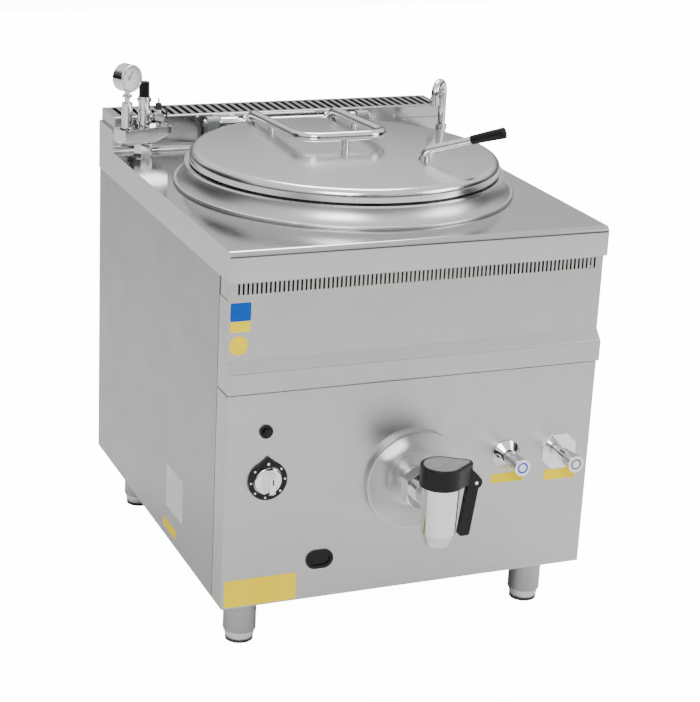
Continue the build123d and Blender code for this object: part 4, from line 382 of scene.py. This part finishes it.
def banded_metal(name, colour, roughness, dark_z, half_height):
    """Bright metal with a black band, half_height above and below dark_z: round the bottom of each foot,
    and painted shade in the gap under the lid.
    """
    made, tree, shader, coord = new_material(name, 1.0, roughness)
    marks = marked(tree, coord)
    split = tree.nodes.new("ShaderNodeSeparateXYZ")
    tree.links.new(coord.outputs["Object"], split.inputs[0])
    offset = tree.nodes.new("ShaderNodeMath")
    offset.operation = "SUBTRACT"
    offset.inputs[1].default_value = dark_z
    tree.links.new(split.outputs["Z"], offset.inputs[0])
    distance = tree.nodes.new("ShaderNodeMath")
    distance.operation = "ABSOLUTE"
    tree.links.new(offset.outputs["Value"], distance.inputs[0])
    outside = tree.nodes.new("ShaderNodeMapRange")
    outside.inputs["From Min"].default_value = half_height - BAND_EDGE
    outside.inputs["From Max"].default_value = half_height + BAND_EDGE
    tree.links.new(distance.outputs["Value"], outside.inputs["Value"])
    # Black inside the band: painted shade on the lid's liner, a plain black band on the feet.
    tint(tree, shader, outside.outputs["Result"], FOOT_BAND_AND_GAP_SHADE, colour)
    tree.links.new(outside.outputs["Result"], shader.inputs["Metallic"])
    roughen(tree, shader, marks.outputs["Marks"], roughness, roughness + 0.12)
    bumped(tree, shader, marks.outputs["Scratches"], 0.03, SCRATCH_BUMP)
    return made


def label_film(name, colour, faded):
    """Printed film with a slow fade and a few wipe marks."""
    made, tree, shader, coord = new_material(name, 0.0, 0.5, 0.05)
    marks = marked(tree, coord, 14.0)
    tint(tree, shader, marks.outputs["Marks"], colour, faded)
    roughen(tree, shader, marks.outputs["Marks"], 0.45, 0.6)
    bumped(tree, shader, marks.outputs["Marks"], 0.05, SKIN_BUMP)
    return made


def clear_glass(name):
    """Thin clear pane that lets the dial show, with a faint smear."""
    made, tree, shader, coord = new_material(name, 0.0, 0.03)
    shader.inputs["IOR"].default_value = 1.45
    marks = marked(tree, coord, 60.0)
    tint(tree, shader, marks.outputs["Marks"], (0.90, 0.96, 0.95), (0.80, 0.90, 0.90))
    roughen(tree, shader, marks.outputs["Marks"], 0.02, 0.07)
    tree.links.new(ranged(tree, marks.outputs["Marks"], 0.10, 0.22), shader.inputs["Alpha"])
    return made


# Painted shade: the lid's liner is painted black in the gap between the pan's rim and the edge of the
# lid, where the groove lies in shadow.
PAN_RIM_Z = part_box("pan_vessel")[1].z
LID_EDGE_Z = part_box("lid_cover")[0].z
GAP_SHADE_SPREAD = 0.00015
LID_GAP_SHADE_Z = (PAN_RIM_Z + LID_EDGE_Z) / 2
LID_GAP_SHADE_HALF = (LID_EDGE_Z - PAN_RIM_Z) / 2 + GAP_SHADE_SPREAD
FOOT_BAND_H = 0.007
# How fine the grain is along X, Y and Z, to the metre.
ALONG_X = (4.0, 260.0, 900.0)
ALONG_Y = (260.0, 4.0, 900.0)
ROUND = (300.0, 300.0, 300.0)


def make_materials():
    GROUPS["brushed grain"] = grain_group()
    GROUPS["handling marks"] = handling_group()
    return {
        "front_steel": sheet_metal("front_steel", (0.50, 0.50, 0.495), 0.34, ALONG_X, 0.07),
        # Painted shade: the sides, back and base are the same sheet as the front, given a darker colour
        # for the shade on the sides turned from the light.
        "side_steel": sheet_metal("side_steel", (0.42, 0.42, 0.425), 0.42, ALONG_Y, 0.07),
        "top_steel": sheet_metal("top_steel", (0.52, 0.52, 0.52), 0.13, ALONG_X, 0.05, 0.03),
        "lid_steel": sheet_metal("lid_steel", (0.68, 0.68, 0.675), 0.19, ROUND, 0.03, 0.03),
        "collar_steel": sheet_metal("collar_steel", (0.56, 0.56, 0.555), 0.32, ROUND, 0.04, 0.04),
        "bright_steel": chrome("bright_steel", (0.78, 0.78, 0.78), 0.08),
        "plain_steel": sheet_metal("plain_steel", (0.30, 0.31, 0.32), 0.5, ALONG_X),
        "chrome_plate": chrome("chrome_plate", (0.82, 0.82, 0.83), 0.03),
        # Black band round each foot, up to FOOT_BAND_H above the floor.
        "foot_steel": banded_metal("foot_steel", (0.80, 0.80, 0.79), 0.16, 0.0, FOOT_BAND_H),
        # Painted shade: the liner carries a black band where the gap under the lid's edge is in shadow.
        "liner_steel": banded_metal("liner_steel", (0.68, 0.68, 0.675), 0.19, LID_GAP_SHADE_Z, LID_GAP_SHADE_HALF),
        "yellow_film": label_film("yellow_film", (0.90, 0.66, 0.0), (0.94, 0.71, 0.0)),
        "blue_film": label_film("blue_film", (0.004, 0.07, 0.40), (0.01, 0.09, 0.44)),
        "silver_film": label_film("silver_film", (0.70, 0.71, 0.72), (0.62, 0.63, 0.64)),
        "white_paint": label_film("white_paint", (0.85, 0.85, 0.83), (0.74, 0.74, 0.72)),
        "blue_ring": label_film("blue_ring", (0.02, 0.10, 0.55), (0.04, 0.14, 0.60)),
        "grey_ring": label_film("grey_ring", (0.16, 0.17, 0.19), (0.22, 0.23, 0.25)),
        "dial_ink": label_film("dial_ink", (0.01, 0.01, 0.012), (0.03, 0.03, 0.032)),
        "dark_enamel": moulded("dark_enamel", (0.02, 0.02, 0.022), 0.3, specular=0.3),
        "black_moulding": moulded("black_moulding", (0.004, 0.004, 0.0045), 0.28, specular=0.22),
        "grey_moulding": moulded("grey_moulding", (0.22, 0.225, 0.235), 0.4),
        "cast_iron": moulded("cast_iron", (0.05, 0.05, 0.05), 0.8, 400.0, 0.6),
        "brass": chrome("brass", (0.62, 0.44, 0.19), 0.3),
        "wool": moulded("wool", (0.55, 0.50, 0.33), 0.95, 250.0, 1.0),
        "dial_enamel": moulded("dial_enamel", (0.95, 0.95, 0.93), 0.4),
        "gauge_glass": clear_glass("gauge_glass"),
    }


NODE_FINISH = {
    "front_steel": ("upper_front_panel", "lower_front_panel", "vent_strip"),
    "side_steel": ("left_side_panel", "right_side_panel", "back_panel", "base_frame"),
    "top_steel": ("worktop", "flue_cap"),
    "lid_steel": ("lid_cover", "pan_vessel"),
    "liner_steel": ("lid_liner",),
    "bright_steel": (
        "lid_arm",
        "lid_arm_fixings",
        "hinge_shaft",
        "lid_handle",
        "drain_pipe",
        "tap_union",
        "tap_body",
        "tap_plug",
    ),
    "collar_steel": ("pan_collar", "tap_rosette"),
    "foot_steel": ("foot_front_left", "foot_front_right", "foot_rear_left", "foot_rear_right"),
    "plain_steel": ("hinge_blocks", "flue_duct", "steam_jacket", "gas_valve"),
    "chrome_plate": (
        "valve_rosettes",
        "cold_valve_handle",
        "hot_valve_handle",
        "water_spout",
        "spout_base",
        "safety_column",
        "safety_dish",
        "gauge_pillar",
        "gauge_case",
        "safety_valve_body",
        "air_valve_body",
        "water_valve_bodies",
        "gas_knob",
    ),
    "dark_enamel": ("air_valve_knob",),
    "black_moulding": (
        "knob_bezel",
        "igniter_body",
        "igniter_button",
        "sight_port",
        "lid_grip",
        "tap_cap",
        "tap_lever",
        "gauge_needle",
        "safety_valve_cap",
    ),
    "grey_moulding": ("tap_cap_plate",),
    "cast_iron": ("burner",),
    "brass": ("gas_pipes", "water_pipes"),
    "wool": ("jacket_insulation",),
    "dial_enamel": ("gauge_dial",),
    "gauge_glass": ("gauge_glass",),
}


def finish_nodes(materials):
    for finish, names in NODE_FINISH.items():
        for name in names:
            node = frame["nodes"][name]
            node.data.materials.clear()
            node.data.materials.append(materials[finish])


# ---------------------------------------------------------------- pieces
PANEL_FRONT_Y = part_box("lower_front_panel")[0].y
UPPER_PANEL_SETBACK = 0.012
UPPER_FRONT_Y = PANEL_FRONT_Y + UPPER_PANEL_SETBACK
SIDE_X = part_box("left_side_panel")[0].x
SMOOTH_ANGLE = radians(35.0)
SAME_WAY = 0.99
LEVEL = 1e-6

FILM = 0.0004
FILM_CORNER = 0.003
FILM_CORNER_STEPS = 4
FILM_MARGIN = 0.0015
FILM_PRESS = FILM / 4
# Each film: name, left and right, bottom and top, face of its panel, finish.
FRONT_FILMS = (
    ("cold_valve_label", (0.175, 0.250), (0.319, 0.340), PANEL_FRONT_Y, "yellow_film"),
    ("hot_valve_label", (0.298, 0.371), (0.312, 0.336), PANEL_FRONT_Y, "yellow_film"),
    ("lower_label", (-0.394, -0.243), (0.120, 0.178), PANEL_FRONT_Y, "yellow_film"),
    ("upper_label", (-0.393, -0.352), (0.711, 0.747), UPPER_FRONT_Y, "blue_film"),
    ("upper_label_foot", (-0.393, -0.352), (0.689, 0.710), UPPER_FRONT_Y, "yellow_film"),
)
# Each film: name, how far behind the front panel it starts and ends, bottom and top, finish.
SIDE_FILMS = (
    ("side_plate", (0.254, 0.366), (0.189, 0.284), "silver_film"),
    ("side_label", (0.296, 0.381), (0.136, 0.157), "yellow_film"),
)
ROUND_LABEL_PLACE = (-0.375, UPPER_FRONT_Y - FILM, 0.662)
ROUND_LABEL_RADIUS = 0.019
ROUND_LABEL_MARGIN = 0.0012

BEZEL_MARK_RADIUS = 0.035
BEZEL_MARKS = (90, 141, 183, 222, 262, 318, 2, 40)
START_DOT_RADIUS = 0.0028
DOT_RADIUS = 0.0022
DOT_DEPTH = 0.0006
DOT_PROUD = 0.0005
DOT_MARGIN = 0.0005
DOT_DOME = 0.0002
POINTER_HALF_W = 0.0012
POINTER_START = 0.002
POINTER_END = 0.0145
POINTER_PROUD = 0.0005
POINTER_SUNK = 0.0003
POINTER_CORNER = 0.0008

CAP_RING_RADIUS = 0.0098
CAP_RING_BAND = 0.0019
CAP_RING_SQUASH = 0.35
PIVOT_RADIUS = 0.0036
PIVOT_DEPTH = 0.0012
PIVOT_PROUD = 0.001
PIVOT_CORNER = 0.0006
PIVOT_MARGIN = 0.0014
PIVOT_SINK = 0.0002

GAUGE_PLACE = JOINTS["gauge_needle_turn"]["pos_m"]
GAUGE_AXIS = JOINTS["gauge_needle_turn"]["axis"]
GAUGE_AIM = atan2(-GAUGE_AXIS[0], GAUGE_AXIS[1])
GAUGE_RING_RADIUS = 0.0278
GAUGE_RING_BAND = 0.0021
GAUGE_RING_SQUASH = 0.7
GAUGE_FRONT = 0.014
DIAL_FRONT = 0.006
DIAL_START = 225.0
DIAL_SWEEP = 270.0
DIAL_TICKS = 31
TICKS_TO_A_LONG_ONE = 5
TICK_OUTER = 0.0232
TICK_DEPTH = 0.0002
LONG_TICK = (0.0198, 0.0004)
SHORT_TICK = (0.0212, 0.0002)
DIAL_NUMBERS = 7
NUMBER_RADIUS = 0.0162
NUMBER_SIZE = 0.0062
NUMBER_DEPTH = 0.0001


def clear_selection():
    if bpy.context.object and bpy.context.object.mode != "OBJECT":
        bpy.ops.object.mode_set(mode="OBJECT")
    bpy.ops.object.select_all(action="DESELECT")


def only(piece):
    clear_selection()
    piece.select_set(True)
    bpy.context.view_layer.objects.active = piece


def applied(piece):
    """Moves a piece's place, turn and size into its mesh."""
    bpy.ops.object.transform_apply(location=True, rotation=True, scale=True)
    return piece


def box_piece(name, low, high):
    """A block between two corners, with its place in its mesh."""
    clear_selection()
    middle = [(a + b) / 2 for a, b in zip(low, high)]
    size = [b - a for a, b in zip(low, high)]
    bpy.ops.mesh.primitive_cube_add(size=1.0, location=middle)
    piece = bpy.context.object
    piece.name = name
    piece.scale = size
    return applied(piece)


def disc_piece(name, radius, depth, sides):
    """A disc about the origin, with its front face towards +Z."""
    clear_selection()
    bpy.ops.mesh.primitive_cylinder_add(
        vertices=sides, radius=radius, depth=depth, location=(0.0, 0.0, -depth / 2)
    )
    piece = bpy.context.object
    piece.name = name
    return applied(piece)


def ring_piece(name, radius, band, squash, sides, band_sides):
    """A round ring about the origin, pressed flatter towards +Z."""
    clear_selection()
    bpy.ops.mesh.primitive_torus_add(
        major_radius=radius, minor_radius=band, major_segments=sides, minor_segments=band_sides
    )
    piece = bpy.context.object
    piece.name = name
    bpy.ops.transform.resize(value=(1.0, 1.0, squash))
    return applied(piece)


def edit_edges(piece, wanted, offset, segments):
    """Bevel the edges that the test picks."""
    only(piece)
    bpy.ops.object.mode_set(mode="EDIT")
    bpy.ops.mesh.select_mode(type="EDGE")
    bpy.ops.mesh.select_all(action="DESELECT")
    mesh = bmesh.from_edit_mesh(piece.data)
    for edge in mesh.edges:
        if wanted(edge.verts[0].co, edge.verts[1].co):
            edge.select = True
    bmesh.update_edit_mesh(piece.data)
    bpy.ops.mesh.bevel(offset=offset, segments=segments, affect="EDGES")
    bpy.ops.object.mode_set(mode="OBJECT")


def inset_face(piece, normal, thickness, rise):
    """Inset the faces that look along a direction, and raise or sink them."""
    only(piece)
    bpy.ops.object.mode_set(mode="EDIT")
    bpy.ops.mesh.select_mode(type="FACE")
    bpy.ops.mesh.select_all(action="DESELECT")
    mesh = bmesh.from_edit_mesh(piece.data)
    way = Vector(normal)
    for face in mesh.faces:
        if face.normal.dot(way) > SAME_WAY:
            face.select = True
    bmesh.update_edit_mesh(piece.data)
    bpy.ops.mesh.inset(thickness=thickness, depth=0.0)
    bpy.ops.transform.translate(value=[rise * part for part in way])
    bpy.ops.object.mode_set(mode="OBJECT")


def settled(piece, matrix):
    """Put a piece drawn about the origin in its place, and its place into its mesh."""
    only(piece)
    piece.matrix_world = matrix
    return applied(piece)


def joined(name, parts):
    """Several parts as one piece."""
    clear_selection()
    for part in parts:
        part.select_set(True)
    bpy.context.view_layer.objects.active = parts[0]
    bpy.ops.object.join()
    parts[0].name = name
    return parts[0]


def finished(piece, finish, body):
    """Gives a piece its finish, and the body that it rides on."""
    only(piece)
    bpy.ops.object.shade_smooth_by_angle(angle=SMOOTH_ANGLE)
    piece.data.materials.clear()
    piece.data.materials.append(MATERIALS[finish])
    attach(piece, body)
    return piece


def facing_front(x, y, z):
    """Place for a disc that looks towards -Y."""
    return Matrix.Translation((x, y, z)) @ Matrix.Rotation(pi / 2, 4, "X")


def front_film(name, across, up, panel_y, finish):
    """Blank film with round corners and a pressed margin, on a front panel."""
    film = box_piece(name, (across[0], panel_y - FILM, up[0]), (across[1], panel_y, up[1]))
    edit_edges(film, lambda a, b: abs(a.y - b.y) > FILM / 2, FILM_CORNER, FILM_CORNER_STEPS)
    inset_face(film, (0.0, -1.0, 0.0), FILM_MARGIN, -FILM_PRESS)
    finished(film, finish, "cabinet")


def side_film(name, back, up, finish):
    """The same on the left side panel."""
    low = (SIDE_X - FILM, PANEL_FRONT_Y + back[0], up[0])
    film = box_piece(name, low, (SIDE_X, PANEL_FRONT_Y + back[1], up[1]))
    edit_edges(film, lambda a, b: abs(a.x - b.x) > FILM / 2, FILM_CORNER, FILM_CORNER_STEPS)
    inset_face(film, (-1.0, 0.0, 0.0), FILM_MARGIN, -FILM_PRESS)
    finished(film, finish, "cabinet")


def add_films():
    for film in FRONT_FILMS:
        front_film(*film)
    disc = disc_piece("round_label", ROUND_LABEL_RADIUS, FILM, 64)
    inset_face(disc, (0.0, 0.0, 1.0), ROUND_LABEL_MARGIN, FILM_PRESS)
    settled(disc, facing_front(*ROUND_LABEL_PLACE))
    finished(disc, "yellow_film", "cabinet")
    for film in SIDE_FILMS:
        side_film(*film)


def add_bezel_dots():
    """Painted dots round the bezel of the gas knob, the first one larger."""
    knob_x, _, knob_z = JOINTS["gas_knob_turn"]["pos_m"]
    face_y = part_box("knob_bezel")[0].y - DOT_PROUD
    dots = []
    for number, angle in enumerate(BEZEL_MARKS):
        dot = disc_piece("dot", DOT_RADIUS if number else START_DOT_RADIUS, DOT_DEPTH, 20)
        inset_face(dot, (0.0, 0.0, 1.0), DOT_MARGIN, DOT_DOME)
        x = knob_x + BEZEL_MARK_RADIUS * cos(radians(angle))
        z = knob_z + BEZEL_MARK_RADIUS * sin(radians(angle))
        dots.append(settled(dot, facing_front(x, face_y, z)))
    finished(joined("bezel_dots", dots), "white_paint", "cabinet")


def add_knob_pointer():
    """Painted line on the grip of the gas knob."""
    knob_x, _, knob_z = JOINTS["gas_knob_turn"]["pos_m"]
    face_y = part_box("gas_knob")[0].y
    low = (knob_x - POINTER_HALF_W, face_y - POINTER_PROUD, knob_z + POINTER_START)
    high = (knob_x + POINTER_HALF_W, face_y + POINTER_SUNK, knob_z + POINTER_END)
    pointer = box_piece("knob_pointer", low, high)
    depth = POINTER_PROUD + POINTER_SUNK
    edit_edges(pointer, lambda a, b: abs(a.y - b.y) > depth / 2, POINTER_CORNER, 3)
    finished(pointer, "dial_ink", "gas_knob_body")


def add_handle_ring(name, joint, handle, finish, body):
    """Coloured ring round the middle of the end cap of a water valve's handle."""
    x, _, z = JOINTS[joint]["pos_m"]
    ring = ring_piece(name, CAP_RING_RADIUS, CAP_RING_BAND, CAP_RING_SQUASH, 56, 12)
    settled(ring, facing_front(x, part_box(handle)[0].y, z))
    finished(ring, finish, body)


def add_lever_pivot():
    """Dished end of the pin that the tap's lever folds about."""
    x, _, z = JOINTS["tap_lever_fold"]["pos_m"]
    pivot = disc_piece("lever_pivot", PIVOT_RADIUS, PIVOT_DEPTH, 32)
    edit_edges(pivot, lambda a, b: abs(a.z) < LEVEL and abs(b.z) < LEVEL, PIVOT_CORNER, 3)
    inset_face(pivot, (0.0, 0.0, 1.0), PIVOT_MARGIN, -PIVOT_SINK)
    settled(pivot, facing_front(x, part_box("tap_lever")[0].y - PIVOT_PROUD, z))
    finished(pivot, "white_paint", "tap_lever_body")


def on_gauge(x=0.0, y=0.0, forward=0.0, turn=0.0):
    """Place on the gauge: across and up its face, forward of its middle, and turned."""
    aimed = Matrix.Rotation(GAUGE_AIM, 4, "Z") @ Matrix.Rotation(pi / 2, 4, "X")
    spot = Matrix.Translation((x, y, forward)) @ Matrix.Rotation(turn, 4, "Z")
    return Matrix.Translation(GAUGE_PLACE) @ aimed @ spot


def dial_angle(number, count):
    return radians(DIAL_START - DIAL_SWEEP * number / (count - 1))


def add_gauge_ring():
    """Rolled ring round the glass."""
    ring = ring_piece("gauge_ring", GAUGE_RING_RADIUS, GAUGE_RING_BAND, GAUGE_RING_SQUASH, 72, 14)
    settled(ring, on_gauge(forward=GAUGE_FRONT))
    finished(ring, "chrome_plate", "cabinet")


def add_gauge_scale():
    """Ticks round the dial, every fifth one longer."""
    ticks = []
    for number in range(DIAL_TICKS):
        inner, half_w = SHORT_TICK if number % TICKS_TO_A_LONG_ONE else LONG_TICK
        tick = box_piece("tick", (inner, -half_w, 0.0), (TICK_OUTER, half_w, TICK_DEPTH))
        turn = dial_angle(number, DIAL_TICKS)
        ticks.append(settled(tick, on_gauge(forward=DIAL_FRONT, turn=turn)))
    finished(joined("gauge_scale", ticks), "dial_ink", "cabinet")


def add_gauge_numbers():
    """Plain numbers inside the scale."""
    figures = []
    for number in range(DIAL_NUMBERS):
        clear_selection()
        bpy.ops.object.text_add()
        figure = bpy.context.object
        figure.data.body = str(number)
        figure.data.size = NUMBER_SIZE
        figure.data.align_x = "CENTER"
        figure.data.align_y = "CENTER"
        figure.data.extrude = NUMBER_DEPTH
        bpy.ops.object.convert(target="MESH")
        angle = dial_angle(number, DIAL_NUMBERS)
        x, y = NUMBER_RADIUS * cos(angle), NUMBER_RADIUS * sin(angle)
        figures.append(settled(bpy.context.object, on_gauge(x, y, DIAL_FRONT + NUMBER_DEPTH)))
    finished(joined("gauge_numbers", figures), "dial_ink", "cabinet")


add_camera()
add_world()
for lamp in LAMPS:
    add_lamp(*lamp)
add_floor()
MATERIALS = make_materials()
finish_nodes(MATERIALS)
add_films()
add_bezel_dots()
add_knob_pointer()
add_handle_ring("cold_ring", "cold_valve_turn", "cold_valve_handle", "blue_ring", "cold_handle")
add_handle_ring("hot_ring", "hot_valve_turn", "hot_valve_handle", "grey_ring", "hot_handle")
add_lever_pivot()
add_gauge_ring()
add_gauge_scale()
add_gauge_numbers()
